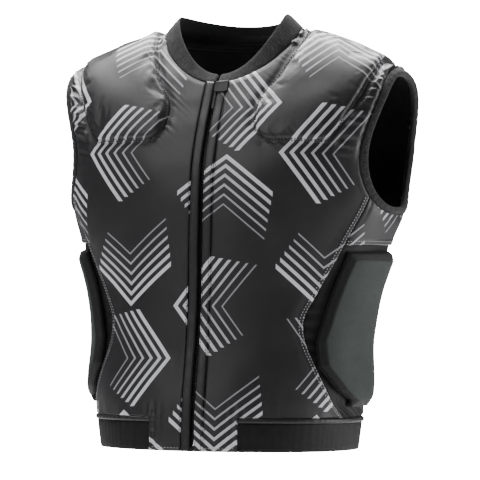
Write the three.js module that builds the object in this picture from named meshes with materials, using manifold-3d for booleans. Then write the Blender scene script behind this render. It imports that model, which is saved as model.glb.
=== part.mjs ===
// A sleeveless rib protector vest, zipped at the front, as it hangs on the shoulders.
// Millimetres, +Z up. The front faces -Y and the wearer's left is +X.
// The origin is the middle of the line between the two neck ends of the shoulder seams.
import * as THREE from "three";
import { mergeVertices } from "three/addons/utils/BufferGeometryUtils.js";
import Module from "manifold-3d";

const wasm = await Module();
wasm.setup();

// Sizes of the body of the vest
const bodyLength = 498;
const halfWidth = 219;
const bodyDepth = 230;
const waistbandHeight = 36;
const tabWidth = 54;

// Clearances between pieces. The seats and the linings' ease leave room for the flat faces of a
// curved piece to dip below its curve.
const gap = 0.3;
const seamEase = 0.5;
const liningEase = 0.8;
const shoulderPadSeat = 1.3;
const ribPadSeat = 1.6;

// Cloth walls
const panelWall = 5;
const sideWall = 3;
const liningWall = 1.2;
const waistbandWall = 3;

// Edges
const bindingWidth = 11;
const bindingProud = 1;
const pipingWidth = 6;
const pipingProud = 2;
const collarHeight = 17;
const collarWall = 3.2;

// Pads
const shoulderPadHeight = 4.5;
const shoulderPadRim = 1.5;
const ribPadHeight = 9;
const ribPadRim = 3;
const ribPadBevel = 9;

// Zip
const zipSlot = 5.2;
const facingWidth = 11;
const facingProud = 0.6;
const tapeWall = 0.8;
const chainWidth = 4.6;
const chainWall = 2.4;
const sliderLength = 9;
const sliderWall = 2.6;
const pullLength = 22;
const pullWall = 1.4;
const stopLength = 5;
const garageWidth = 18;
const garageLength = 14;
const garageWall = 1.4;

// Rows of a table as objects that go by its column names
const table = (columns, rows) =>
  rows.map((row) => Object.fromEntries(columns.map((column, i) => [column, row[i]])));

// Sections of the form, hem first. x is a share of halfWidth, y of bodyDepth, and z of the length
// above the waistband. square is the power of the section's curve in front, squareBack behind, and
// crown that of its drop.
const SECTIONS = table([
  "at", "sideX", "sideY", "sideZ", "frontY", "frontZ", "backY", "backZ", "square", "crown", "squareBack",
], [
  ["hem", 0.712, -0.035, -1, -0.583, -1, 0.452, -1, 2.25, 2, 2.25],
  ["band top", 0.735, -0.035, -1, -0.578, -0.998, 0.443, -0.996, 2.25, 2, 2.25],
  ["low waist", 0.753, -0.026, -0.92, -0.557, -0.92, 0.426, -0.92, 2.3, 2, 2.3],
  ["waist", 0.744, -0.004, -0.797, -0.513, -0.797, 0.417, -0.797, 2.3, 2, 2.3],
  ["ribs", 0.781, 0.017, -0.675, -0.491, -0.675, 0.448, -0.675, 2.3, 2, 2.3],
  ["gusset", 0.868, 0.039, -0.552, -0.487, -0.558, 0.496, -0.552, 2.35, 2, 2.35],
  ["underarm", 0.945, 0.07, -0.444, -0.478, -0.45, 0.545, -0.433, 2.4, 2, 2.55],
  ["chest", 0.982, 0.087, -0.303, -0.452, -0.346, 0.575, -0.303, 2.4, 2, 3.3],
  ["shoulder", 1, 0.043, -0.134, -0.383, -0.255, 0.51, -0.177, 2.3, 1.9, 2.8],
  ["mid shoulder", 0.717, 0.013, -0.05, -0.322, -0.195, 0.4, -0.082, 2.2, 1.7, 2.2],
  ["neck", 0.397, 0, 0.004, -0.261, -0.136, 0.27, -0.017, 2, 1.5, 2],
]);
const bandTopRow = 1;
const neckRow = SECTIONS.length - 1;

// Top edge of the collar against its foot: its lean inwards and its rise, as shares of its height
const COLLAR = {
  side: { lean: 0.94, rise: 1 },
  front: { lean: 0.53, rise: 0.6 },
  back: { lean: 0.18, rise: 0.95 },
};

// Seams on each side of the side panel, in degrees round from the front centre.
const SIDE_SEAMS = table(["row", "front", "back"], [
  [1, 77, 112],
  [1.5, 67, 118],
  [2, 60, 123],
  [2.5, 53, 128],
  [3, 46.5, 131],
  [3.4, 44.5, 132],
  [4, 49.5, 130],
  [4.5, 53.5, 127],
  [5, 56.5, 124],
  [5.6, 59.5, 121],
]);
const gussetRow = 5;

// The armhole is an oval of form rows and degrees. Its stops run up its front half, in degrees.
const ARMHOLE = { row: 7.05, halfRows: 1.15, halfAngle: 31, square: 2.2 };
const ARMHOLE_STOPS = [-90, -78, -66, -54, -42, -22, -4, 14, 32, 51, 70, 90];
const junctionStop = 4;

// Front half of a shoulder pad, foot first: degrees and form row of its neck side and its arm side.
const SHOULDER_PAD = table(["neckAngle", "neckRow", "armAngle", "armRow"], [
  [15.5, 7.52, 38, 7.28],
  [12, 7.95, 42.5, 7.55],
  [14.5, 8.6, 47, 7.85],
  [21, 9.1, 53, 8.07],
  [33, 9.45, 62, 8.3],
  [50, 9.72, 74, 8.45],
  [66, 9.83, 82, 8.51],
  [80, 9.88, 87, 8.54],
  [90, 9.9, 90, 8.55],
]);

// Outline of a rib pad's face, foot first: form row, and degrees of its front and back edges.
const RIB_PAD = table(["row", "front", "back"], [
  [1.72, 80, 97],
  [2, 70, 107],
  [2.5, 57.5, 119],
  [3, 55.5, 123],
  [3.4, 58, 122],
  [4, 60.5, 119.5],
  [4.62, 62.5, 117.5],
]);

// Section of the armhole binding: share of its width out from the opening, and of its thickness.
const BINDING_SECTION = table(["out", "thick"], [
  [0, 0.35],
  [0, 0.7],
  [0.22, 0.98],
  [0.7, 1],
  [1, 0.86],
  [1, 0.1],
  [0.7, 0],
  [0.2, 0.06],
]);

// Finishes, as seen on the vest
const finish = (color, roughness) => new THREE.MeshStandardMaterial({ color, roughness, metalness: 0 });
const printedCloth = finish(0x3b393d, 0.55);
const plainCloth = finish(0x2e2d30, 0.6);
const stretchCloth = finish(0x1b1b1b, 0.7);
const liningMesh = finish(0x101011, 0.8);
const knit = finish(0x2a2a2b, 0.85);
const padCloth = finish(0x46504e, 0.8);
const zipPlastic = finish(0x0d0d0e, 0.4);

const degrees = THREE.MathUtils.degToRad;
const lerp = THREE.MathUtils.lerp;

// Lines drawn down the form
const trunk = bodyLength - waistbandHeight;
const drop = (section, share) => share * trunk - (section.at === "hem" ? waistbandHeight : 0);
const line = (place) => new THREE.CatmullRomCurve3(SECTIONS.map(place), false, "catmullrom", 0.5);
const sideLine = line(
  (s) => new THREE.Vector3(s.sideX * halfWidth, s.sideY * bodyDepth, drop(s, s.sideZ)),
);
const frontLine = line((s) => new THREE.Vector3(0, s.frontY * bodyDepth, drop(s, s.frontZ)));
const backLine = line((s) => new THREE.Vector3(0, s.backY * bodyDepth, drop(s, s.backZ)));
const curveLine = line((s) => new THREE.Vector3(s.square, s.crown, s.squareBack));

// A point of one ring, from its point at the side and its point at the front or back centre.
function ringPoint(angle, side, front, back, curve) {
  const c = Math.cos(degrees(angle));
  const s = Math.sin(degrees(angle));
  const centre = c >= 0 ? front : back;
  const power = 2 / (c >= 0 ? curve.x : curve.z);
  const across = Math.sign(s) * Math.abs(s) ** power;
  const along = Math.abs(c) ** power;
  const sink = Math.abs(c) ** curve.y;
  return new THREE.Vector3(side.x * across, lerp(side.y, centre.y, along), lerp(side.z, centre.z, sink));
}

function formPoint(angle, row) {
  const t = row / neckRow;
  return ringPoint(
    angle, sideLine.getPoint(t), frontLine.getPoint(t), backLine.getPoint(t), curveLine.getPoint(t),
  );
}

// The outward normal of a surface given by two numbers.
function normalOf(surface, a, b, stepA, stepB) {
  const alongA = surface(a + stepA, b).sub(surface(a - stepA, b));
  const alongB = surface(a, b + stepB).sub(surface(a, b - stepB));
  return alongA.cross(alongB).normalize();
}

// A point at a height over the form, inside it where the height is negative. Two pieces that meet
// at a seam both stand square to the form at the seam's own angle.
function onForm(angle, row, height, seamAngle = angle) {
  const edge = 0.02;
  const safeRow = THREE.MathUtils.clamp(row, edge, neckRow - edge);
  const normal = normalOf(formPoint, seamAngle, safeRow, 1.5, edge);
  return formPoint(angle, row).addScaledVector(normal, height);
}

// Degrees round from the front centre at which a row is a distance x from the middle.
function angleAt(x, row) {
  const t = row / neckRow;
  const share = Math.abs(x) / sideLine.getPoint(t).x;
  return (Math.sign(x) * Math.asin(share ** (curveLine.getPoint(t).x / 2))) / degrees(1);
}

// Degrees, and form rows, that a short distance takes up.
const angleFor = (size, angle, row) =>
  (2 * size) / formPoint(angle + 1, row).distanceTo(formPoint(angle - 1, row));
const rowsFor = (size, angle, row) =>
  (0.1 * size) / formPoint(angle, row + 0.05).distanceTo(formPoint(angle, row - 0.05));

// A geometry whose vertices are shared and placed again, turned out if the placing turned it in.
function placed(geometry, place) {
  geometry.deleteAttribute("normal");
  geometry.deleteAttribute("uv");
  const shared = mergeVertices(geometry);
  const position = shared.getAttribute("position");
  for (let i = 0; i < position.count; i += 1) {
    const point = place(new THREE.Vector3().fromBufferAttribute(position, i));
    position.setXYZ(i, point.x, point.y, point.z);
  }
  const index = shared.getIndex().array;
  const corner = (i) => new THREE.Vector3().fromBufferAttribute(position, index[i]);
  let volume = 0;
  for (let i = 0; i < index.length; i += 3) {
    volume += corner(i).dot(corner(i + 1).cross(corner(i + 2)));
  }
  if (volume < 0) index.reverse();
  shared.computeVertexNormals();
  return shared;
}

// A cloth of so many columns and rows. place is given a column, a row, and 1 outside or 0 inside.
// Each cell is cut along the shorter diagonal of its outside, and alike on its inside.
function cloth(columns, rows, place) {
  const geometry = new THREE.BoxGeometry(1, 1, 1, columns, rows, 1);
  const put = (p) =>
    place(Math.round((p.x + 0.5) * columns), Math.round((p.y + 0.5) * rows), p.z > 0 ? 1 : 0);
  const position = geometry.getAttribute("position");
  const spot = (i) => put(new THREE.Vector3().fromBufferAttribute(position, i));
  const index = geometry.getIndex().array;
  const [outside, inside] = geometry.groups.slice(4);
  const cornersAt = (start) => [0, 1, 4, 2].map((i) => index[start + i]);
  for (let cell = 0; cell < columns * rows; cell += 1) {
    const column = cell % columns;
    const start = outside.start + 6 * cell;
    const opposite = inside.start + 6 * (cell - column + (columns - 1 - column));
    const [a, b, c, d] = cornersAt(start);
    const recut = spot(a).distanceTo(spot(c)) < spot(b).distanceTo(spot(d)) ? start : opposite;
    const [e, f, g, h] = cornersAt(recut);
    index.set([e, f, g, e, g, h], recut);
  }
  return placed(geometry, put);
}

// One body of two that meet or overlap.
function joined(first, second) {
  const [a, b] = [first, second].map((geometry) => new wasm.Manifold(new wasm.Mesh({
    numProp: 3,
    vertProperties: new Float32Array(geometry.getAttribute("position").array),
    triVerts: new Uint32Array(geometry.getIndex().array),
  })));
  const mesh = a.add(b).getMesh();
  const geometry = new THREE.BufferGeometry();
  geometry.setAttribute("position", new THREE.BufferAttribute(mesh.vertProperties, 3));
  geometry.setIndex(new THREE.BufferAttribute(mesh.triVerts, 1));
  geometry.computeVertexNormals();
  return geometry;
}

function piece(name, geometry, material) {
  const mesh = new THREE.Mesh(geometry, material);
  mesh.name = name;
  return mesh;
}

// Armhole oval at a stop's angle, grown by a distance
const growAngle = (size) => angleFor(size, 90 - ARMHOLE.halfAngle, ARMHOLE.row);
const growRows = (size) => rowsFor(size, 90, ARMHOLE.row + ARMHOLE.halfRows);
function armholeEdge(stop, size) {
  const c = Math.cos(degrees(stop));
  const s = Math.sin(degrees(stop));
  const power = 2 / ARMHOLE.square;
  const reach = Math.sign(c) * Math.abs(c) ** power;
  const rise = Math.sign(s) * Math.abs(s) ** power;
  return {
    angle: 90 - (ARMHOLE.halfAngle + growAngle(size)) * reach,
    row: ARMHOLE.row + (ARMHOLE.halfRows + growRows(size)) * rise,
  };
}
const panelEdge = (stop) => armholeEdge(stop, bindingWidth + seamEase);

// Rows of the panels, foot first, with the seams or the armhole's edges on each
const footRow = bandTopRow + rowsFor(pipingWidth / 2 + gap, 90, bandTopRow + 0.1);
const topRow = neckRow - rowsFor(gap, 0, neckRow - 0.1);
const shoulderSteps = 5;

function seamRows() {
  const [first, second, ...others] = SIDE_SEAMS;
  const share = (footRow - first.row) / (second.row - first.row);
  const front = lerp(first.front, second.front, share);
  const back = lerp(first.back, second.back, share);
  const meet = panelEdge(ARMHOLE_STOPS[junctionStop]);
  const top = { row: meet.row, front: meet.angle, back: 180 - meet.angle };
  return [{ row: footRow, front, back }, second, ...others, top];
}

// The seam edges keep clear of their neighbour; the armhole edges already do.
function panelRows() {
  const held = seamRows().map((r) => ({
    row: r.row,
    front: r.front - angleFor(gap, r.front, r.row),
    back: r.back + angleFor(gap, r.back, r.row),
  }));
  const open = ARMHOLE_STOPS.slice(junctionStop + 1, -1).map(panelEdge)
    .map((edge) => ({ row: edge.row, front: edge.angle, back: 180 - edge.angle }));
  const shoulderFoot = panelEdge(90).row;
  const shoulder = [];
  for (let i = 0; i <= shoulderSteps; i += 1) {
    const row = lerp(shoulderFoot, topRow, i / shoulderSteps);
    const clear = angleFor(gap, 90, row);
    shoulder.push({ row, front: 90 - clear, back: 90 + clear, seam: 90 });
  }
  return [...held, ...open, ...shoulder];
}

const PANEL_ROWS = panelRows();
const slotHalf = zipSlot / 2;
const facingEdge = slotHalf + facingWidth;
const panelStart = facingEdge + gap;

// Columns of a front panel, as shares from its zip edge to its side edge. The third is the tab's edge.
const tabColumn = 2;
const frontColumns = 8;
function frontShares() {
  const foot = PANEL_ROWS[0];
  const start = angleAt(panelStart, foot.row);
  const tab = (angleAt(tabWidth, foot.row) - start) / (foot.front - start);
  const shares = [];
  for (let i = 0; i <= frontColumns; i += 1) {
    const beyond = (i - tabColumn) / (frontColumns - tabColumn);
    shares.push(i <= tabColumn ? (tab * i) / tabColumn : lerp(tab, 1, beyond));
  }
  return shares;
}
const FRONT_SHARES = frontShares();

// The depths of a layer of cloth, outside and inside, under the surface of the form.
const layer = (depth, wall) => (side) => -depth - (side === 1 ? 0 : wall);
const panelLayer = layer(0, panelWall);
const sideLayer = layer(0, sideWall);
const panelLining = layer(panelWall + liningEase, liningWall);
const sideLining = layer(sideWall + liningEase, liningWall);

// A lining takes only some of its panel's columns, so that it needs fewer faces.
const every = (count) => Array.from({ length: count + 1 }, (unused, i) => i);
const halved = (count) => every(count).filter((i) => i % 2 === 0);

function frontPanel(columns, height) {
  return cloth(columns.length - 1, PANEL_ROWS.length - 1, (column, row, side) => {
    const r = PANEL_ROWS[row];
    const taken = columns[column];
    const angle = lerp(angleAt(panelStart, r.row), r.front, FRONT_SHARES[taken]);
    return onForm(angle, r.row, height(side), taken === frontColumns ? r.seam : undefined);
  });
}

// The strip of a front panel that runs down past the piping and the waistband to the hem
function frontTab() {
  const rows = 2;
  return cloth(tabColumn, rows, (column, row, side) => {
    const level = lerp(0, footRow, row / rows);
    const angle = lerp(angleAt(panelStart, level), angleAt(tabWidth, level), column / tabColumn);
    return onForm(angle, level, panelLayer(side));
  });
}

const backColumns = 16;
const backLiningColumns = every(backColumns).filter(
  (i) => i % 2 === 0 || i === 1 || i === backColumns - 1,
);
function backPanel(columns, height) {
  return cloth(columns.length - 1, PANEL_ROWS.length - 1, (column, row, side) => {
    const r = PANEL_ROWS[row];
    const taken = columns[column];
    const angle = lerp(r.back, 360 - r.back, taken / backColumns);
    const seam = r.seam && { 0: r.seam, [backColumns]: 360 - r.seam }[taken];
    return onForm(angle, r.row, height(side), seam);
  });
}

// Stops of the armhole's lower edge, from the front seam round to the back seam
const LOWER_STOPS = [
  ...ARMHOLE_STOPS.slice(0, junctionStop + 1).reverse(),
  ...ARMHOLE_STOPS.slice(1, junctionStop + 1).map((stop) => -180 - stop),
];
const sideColumns = LOWER_STOPS.length - 1;

// Degrees at a share of the way between the two seams of a side piece, set in from both
function sideAngle(r, share) {
  return lerp(r.front + angleFor(gap, r.front, r.row), r.back - angleFor(gap, r.back, r.row), share);
}

function sidePanel() {
  const rows = seamRows().filter((r) => r.row <= gussetRow);
  const last = rows.length - 1;
  return cloth(sideColumns, last, (column, row, side) => {
    const clear = row === last ? rowsFor(gap / 2, 90, rows[row].row) : 0;
    return onForm(sideAngle(rows[row], column / sideColumns), rows[row].row - clear, sideLayer(side));
  });
}

// A side piece that reaches the armhole. Its rows bend from the gusset's seam up to the oval.
function underArm(rows, height) {
  const top = rows[rows.length - 1];
  return cloth(sideColumns, rows.length - 1, (column, row, side) => {
    const r = rows[row];
    const edge = panelEdge(LOWER_STOPS[column]);
    const bend = Math.max(0, (r.row - gussetRow) / (top.row - gussetRow));
    const topShare = (edge.angle - top.front) / (top.back - top.front);
    const clear = r.row === gussetRow && row === 0 ? rowsFor(gap / 2, 90, r.row) : 0;
    const level = r.row + clear - (top.row - edge.row + rowsFor(gap, 90, r.row)) * bend;
    return onForm(sideAngle(r, lerp(column / sideColumns, topShare, bend)), level, height(side));
  });
}
const gusset = () => underArm(seamRows().filter((r) => r.row >= gussetRow), sideLayer);
const sideLiner = () => underArm(seamRows(), sideLining);

// The binding wraps the edge of the panels and their lining, all round the armhole.
function armholeBinding() {
  const front = ARMHOLE_STOPS;
  const back = ARMHOLE_STOPS.slice(1, -1).reverse().map((stop) => 180 - stop);
  const stops = [...front, ...back];
  const sections = BINDING_SECTION.length;
  const depth = panelWall + liningEase + liningWall;
  const ring = 2;
  const geometry = new THREE.TorusGeometry(ring, 1, sections, stops.length);
  const count = (angle, of) => (Math.round((angle / (2 * Math.PI)) * of) + of) % of;
  return placed(geometry, (p) => {
    const stop = stops[count(Math.atan2(p.y, p.x), stops.length)];
    const corner = BINDING_SECTION[count(Math.atan2(p.z, Math.hypot(p.x, p.y) - ring), sections)];
    const edge = armholeEdge(stop, bindingWidth * corner.out);
    return onForm(edge.angle, edge.row, lerp(-depth, bindingProud, corner.thick));
  });
}

// A band from one front tab round the back to the other
const bandColumns = 28;
function roundBand(rows, height) {
  const last = rows.length - 1;
  return cloth(bandColumns, last, (column, row, side) => {
    const start = angleAt(tabWidth + gap, rows[row]);
    return onForm(lerp(start, 360 - start, column / bandColumns), rows[row], height(side, row));
  });
}

function waistband() {
  const top = bandTopRow - rowsFor(pipingWidth / 2 + gap, 90, bandTopRow - 0.1);
  return roundBand([0, top / 2, top], layer(0, waistbandWall));
}

function hemPiping() {
  const half = rowsFor(pipingWidth / 2, 90, bandTopRow);
  const rows = [bandTopRow - half, bandTopRow - half / 2, bandTopRow + half / 2, bandTopRow + half];
  const rounds = [0, pipingProud, pipingProud, 0];
  return roundBand(rows, (side, row) => (side === 1 ? rounds[row] : -panelWall));
}

// The collar stands on the neck edge and leans in, with its ends at the zip.
function collarPoint(angle, share) {
  const edge = (curve, lean, inward) => curve.getPoint(1)
    .addScaledVector(inward, share * lean.lean * collarHeight)
    .add(new THREE.Vector3(0, 0, share * lean.rise * collarHeight));
  return ringPoint(
    angle,
    edge(sideLine, COLLAR.side, new THREE.Vector3(-1, 0, 0)),
    edge(frontLine, COLLAR.front, new THREE.Vector3(0, 1, 0)),
    edge(backLine, COLLAR.back, new THREE.Vector3(0, -1, 0)),
    curveLine.getPoint(1),
  );
}

function neckBand() {
  const columns = 36;
  const shares = [(2 * seamEase) / collarHeight, 0.5, 0.88, 1];
  const pinch = [0, 0, 0, 0.3];
  const start = angleAt(slotHalf / 2, neckRow);
  return cloth(columns, shares.length - 1, (column, row, side) => {
    const angle = lerp(start, 360 - start, column / columns);
    const normal = normalOf(collarPoint, angle, shares[row], 0.5, 0.05);
    const depth = side === 1 ? pinch[row] : 1 - pinch[row];
    return collarPoint(angle, shares[row]).addScaledVector(normal, -collarWall * depth);
  });
}

// A height that swells from an edge to the middle of a pad, given shares along and across it
const swell = (share) => 1 - Math.abs(2 * share - 1) ** 5;

function shoulderPad() {
  const back = SHOULDER_PAD.slice(0, -1).reverse().map((r) => (
    { ...r, neckAngle: 180 - r.neckAngle, armAngle: 180 - r.armAngle }));
  const rows = [...SHOULDER_PAD, ...back];
  const last = rows.length - 1;
  const columns = 6;
  return cloth(columns, last, (column, row, side) => {
    const across = column / columns;
    const r = rows[row];
    const swollen = swell(across) * swell(row / last);
    const rise = lerp(shoulderPadRim, shoulderPadHeight, swollen);
    const angle = lerp(r.neckAngle, r.armAngle, across);
    const level = lerp(r.neckRow, r.armRow, across);
    return onForm(angle, level, shoulderPadSeat + (side === 1 ? rise : 0));
  });
}

// A rib pad is a thick plate with its edges cut to a slope all round.
function ribPad() {
  const foot = RIB_PAD[0];
  const head = RIB_PAD[RIB_PAD.length - 1];
  const slope = rowsFor(ribPadBevel, 90, foot.row);
  const rows = [
    { ...foot, row: foot.row - slope, edge: true },
    ...RIB_PAD,
    { ...head, row: head.row + slope, edge: true },
  ];
  const middle = every(6).map((i) => i / 6);
  const columns = middle.length + 1;
  return cloth(columns, rows.length - 1, (column, row, side) => {
    const r = rows[row];
    const rim = column === 0 || column === columns;
    const share = middle[THREE.MathUtils.clamp(column - 1, 0, middle.length - 1)];
    const out = rim ? angleFor(ribPadBevel, r.front, r.row) * (column === 0 ? -1 : 1) : 0;
    const height = rim || r.edge ? ribPadRim : ribPadHeight;
    return onForm(lerp(r.front, r.back, share) + out, r.row, ribPadSeat + (side === 1 ? height : 0));
  });
}

// Strips along the zip, between two distances from the middle, over some rows of the form
const STRIP_ROWS = [0, footRow / 2, ...PANEL_ROWS.map((r) => r.row)];
function strip(fromX, toX, rows, height) {
  return cloth(1, rows.length - 1, (column, row, side) =>
    onForm(angleAt(column === 0 ? fromX : toX, rows[row]), rows[row], height(side)));
}

const chainTop = chainWall - panelWall - gap - tapeWall;
const chainHalf = chainWidth / 2;
const facing = () => strip(slotHalf, facingEdge, STRIP_ROWS, layer(-facingProud, panelWall + facingProud));
const zipTape = () => strip(chainHalf + gap, facingEdge, STRIP_ROWS, layer(panelWall + gap, tapeWall));
const zipChain = () => strip(-chainHalf, chainHalf, STRIP_ROWS, layer(-chainTop, chainWall));

// Rows a distance below the top of the zip
const below = (size) => topRow - rowsFor(size, 0, neckRow - 0.5);

function zipSlider() {
  const top = garageLength / 4;
  const seat = layer(-chainTop - sliderWall - gap, sliderWall);
  const bodyRows = [below(top + sliderLength), below(top)];
  const pullRows = [
    below(top + sliderLength + pullLength),
    below(top + sliderLength + pullLength / 2),
    below(top + sliderLength / 2),
  ];
  const pullHalf = chainHalf * 0.8;
  const plate = layer(-chainTop - gap - (sliderWall + pullWall) / 2, pullWall);
  return joined(
    strip(-chainHalf, chainHalf, bodyRows, seat),
    strip(-pullHalf, pullHalf, pullRows, plate),
  );
}

const zipStop = () => strip(
  -chainHalf, chainHalf, [0, rowsFor(stopLength, 0, 0.5)], layer(-chainTop - sliderWall - gap, sliderWall),
);

const zipGarage = () => strip(
  -slotHalf / 2, garageWidth - slotHalf / 2, [below(garageLength), topRow],
  layer(-facingProud - gap - garageWall, garageWall),
);

// Each side's own pieces, made for the wearer's left and turned over for the right
function sidePieces(side) {
  const group = new THREE.Group();
  const front = joined(frontPanel(every(frontColumns), panelLayer), frontTab());
  group.add(
    piece(`front_panel_${side}`, front, printedCloth),
    piece(`underarm_gusset_${side}`, gusset(), printedCloth),
    piece(`side_panel_${side}`, sidePanel(), stretchCloth),
    piece(`rib_pad_${side}`, ribPad(), padCloth),
    piece(`shoulder_pad_${side}`, shoulderPad(), printedCloth),
    piece(`armhole_binding_${side}`, armholeBinding(), knit),
    piece(`zip_facing_${side}`, facing(), plainCloth),
    piece(`zip_tape_${side}`, zipTape(), stretchCloth),
    piece(`lining_front_${side}`, frontPanel(halved(frontColumns), panelLining), liningMesh),
    piece(`lining_side_${side}`, sideLiner(), liningMesh),
  );
  return group;
}

const ribProtector = new THREE.Group();
ribProtector.name = "rib_protector";
const left = sidePieces("left");
const right = sidePieces("right");
right.scale.x = -1;
ribProtector.add(
  left,
  right,
  piece("back_panel", backPanel(every(backColumns), panelLayer), printedCloth),
  piece("lining_back", backPanel(backLiningColumns, panelLining), liningMesh),
  piece("neck_band", neckBand(), knit),
  piece("waistband", waistband(), stretchCloth),
  piece("hem_piping", hemPiping(), plainCloth),
  piece("zip_chain", zipChain(), zipPlastic),
  piece("zip_slider", zipSlider(), zipPlastic),
  piece("zip_stop", zipStop(), zipPlastic),
  piece("zip_garage", zipGarage(), plainCloth),
);

export default ribProtector;
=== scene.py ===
"""A zipped rib protector vest, dressed around its CAD frame.

Metres, +Z up. The front faces -Y and the wearer's left is +X.
Every soft piece is a patch or a band that lies on one form, given by an angle round from the front
centre in degrees and by a row that rises from the hem to the neck.
"""

import logging
import math
from contextlib import contextmanager
from dataclasses import dataclass, field
from enum import Enum
from typing import Callable, Iterator, Sequence

import bmesh
import bpy
import numpy as np
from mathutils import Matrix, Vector
from mathutils.bvhtree import BVHTree


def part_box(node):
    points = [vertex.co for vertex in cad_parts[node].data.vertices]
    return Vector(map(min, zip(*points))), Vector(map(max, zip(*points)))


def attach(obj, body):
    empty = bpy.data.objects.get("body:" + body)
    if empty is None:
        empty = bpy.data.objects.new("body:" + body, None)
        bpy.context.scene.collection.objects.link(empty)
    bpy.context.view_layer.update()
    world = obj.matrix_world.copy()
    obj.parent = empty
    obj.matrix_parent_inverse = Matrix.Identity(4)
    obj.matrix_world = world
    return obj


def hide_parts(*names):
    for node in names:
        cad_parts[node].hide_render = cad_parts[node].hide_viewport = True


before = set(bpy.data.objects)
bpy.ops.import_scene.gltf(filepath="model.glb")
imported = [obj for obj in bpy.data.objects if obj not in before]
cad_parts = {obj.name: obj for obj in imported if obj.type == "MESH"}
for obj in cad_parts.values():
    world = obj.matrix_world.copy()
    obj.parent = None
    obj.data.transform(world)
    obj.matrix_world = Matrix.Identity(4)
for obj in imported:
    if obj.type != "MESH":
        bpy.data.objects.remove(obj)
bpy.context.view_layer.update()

log = logging.getLogger("rib_protector")
Array = np.ndarray
Colour = tuple[float, float, float, float]
Screen = tuple[float, float, float]

# side x, side y, side z, front y, front z, back y, back z, square, crown, square behind: shares of the
# form's sizes, from the hem up to the neck
SECTIONS = (
    (0.712, -0.035, -1, -0.583, -1, 0.452, -1, 2.25, 2, 2.25),
    (0.735, -0.035, -1, -0.578, -0.998, 0.443, -0.996, 2.25, 2, 2.25),
    (0.753, -0.026, -0.92, -0.557, -0.92, 0.426, -0.92, 2.3, 2, 2.3),
    (0.744, -0.004, -0.797, -0.513, -0.797, 0.417, -0.797, 2.3, 2, 2.3),
    (0.781, 0.017, -0.675, -0.491, -0.675, 0.448, -0.675, 2.3, 2, 2.3),
    (0.868, 0.039, -0.552, -0.487, -0.558, 0.496, -0.552, 2.35, 2, 2.35),
    (0.945, 0.07, -0.444, -0.478, -0.45, 0.545, -0.433, 2.4, 2, 2.55),
    (0.982, 0.087, -0.303, -0.452, -0.346, 0.575, -0.303, 2.4, 2, 3.3),
    (1, 0.043, -0.134, -0.383, -0.255, 0.51, -0.177, 2.3, 1.9, 2.8),
    (0.717, 0.013, -0.05, -0.322, -0.195, 0.4, -0.082, 2.2, 1.7, 2.2),
    (0.397, 0, 0.004, -0.261, -0.136, 0.27, -0.017, 2, 1.5, 2),
)
BAND_TOP_ROW = 1.0
NECK_ROW = 10.0
GUSSET_ROW = 5.0

# row, front seam, back seam
SIDE_SEAMS = (
    (1, 77, 112),
    (1.5, 67, 118),
    (2, 60, 123),
    (2.5, 53, 128),
    (3, 46.5, 131),
    (3.4, 44.5, 132),
    (4, 49.5, 130),
    (4.5, 53.5, 127),
    (5, 56.5, 124),
    (5.6, 59.5, 121),
)

# neck side's angle and row, arm side's angle and row, from the front foot up to the shoulder seam
SHOULDER_PAD = (
    (15.5, 7.52, 38, 7.28),
    (12, 7.95, 42.5, 7.55),
    (14.5, 8.6, 47, 7.85),
    (21, 9.1, 53, 8.07),
    (33, 9.45, 62, 8.3),
    (50, 9.72, 74, 8.45),
    (66, 9.83, 82, 8.51),
    (80, 9.88, 87, 8.54),
    (90, 9.9, 90, 8.55),
)

# row, front edge, back edge of the pad's face
RIB_PAD = (
    (1.72, 80, 97),
    (2, 70, 107),
    (2.5, 57.5, 119),
    (3, 55.5, 123),
    (3.4, 58, 122),
    (4, 60.5, 119.5),
    (4.62, 62.5, 117.5),
)

MM = 0.001
GAP = 0.3 * MM
SEAM_EASE = 0.5 * MM
PANEL_WALL = 5 * MM
SIDE_WALL = 3 * MM
LINING_EASE = 0.8 * MM
LINING_WALL = 1.2 * MM
PANEL_CLOTH = PANEL_WALL - 1.2 * MM
GUSSET_CLOTH = SIDE_WALL - 0.8 * MM
SIDE_CLOTH = SIDE_WALL - 1.3 * MM
LINING_CLOTH = 0.8 * MM
PAD_COVER = 1.6 * MM
RIB_PAD_COVER = 2.5 * MM
BINDING_WIDTH = 11 * MM
TAB_WIDTH = 54 * MM
SLOT_HALF = 2.6 * MM
FACING_WIDTH = 11 * MM
FACING_EDGE = SLOT_HALF + FACING_WIDTH
PIPING_WIDTH = 6 * MM
MEETING_STOP = -42.0
SETTLE_FRAMES = 20


class Side(Enum):
    """The wearer's two sides, as the sign of their angles."""

    LEFT = 1
    RIGHT = -1

    @property
    def word(self) -> str:
        """The side's name as the CAD nodes end."""
        return self.name.lower()


def smoothstep(low: float, high: float, value: Array) -> Array:
    """0 below low, 1 above high and a soft rise between."""
    share = np.clip((value - low) / (high - low), 0, 1)
    return share * share * (3 - 2 * share)


def hermite(x: Array, xs: Sequence[float], ys: Sequence[float]) -> Array:
    """A smooth curve through a table of points.

    Args:
        x: where to read the curve.
        xs: the table's rising column.
        ys: the table's values.

    Returns:
        The curve's values at x.
    """
    knots, values = np.asarray(xs, float), np.asarray(ys, float)
    slopes = np.gradient(values, knots)
    i = np.clip(np.searchsorted(knots, x, side="right") - 1, 0, len(knots) - 2)
    span = knots[i + 1] - knots[i]
    t = (x - knots[i]) / span
    return (
        (2 * t**3 - 3 * t**2 + 1) * values[i]
        + (t**3 - 2 * t**2 + t) * slopes[i] * span
        + (3 * t**2 - 2 * t**3) * values[i + 1]
        + (t**3 - t**2) * slopes[i + 1] * span
    )


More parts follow.
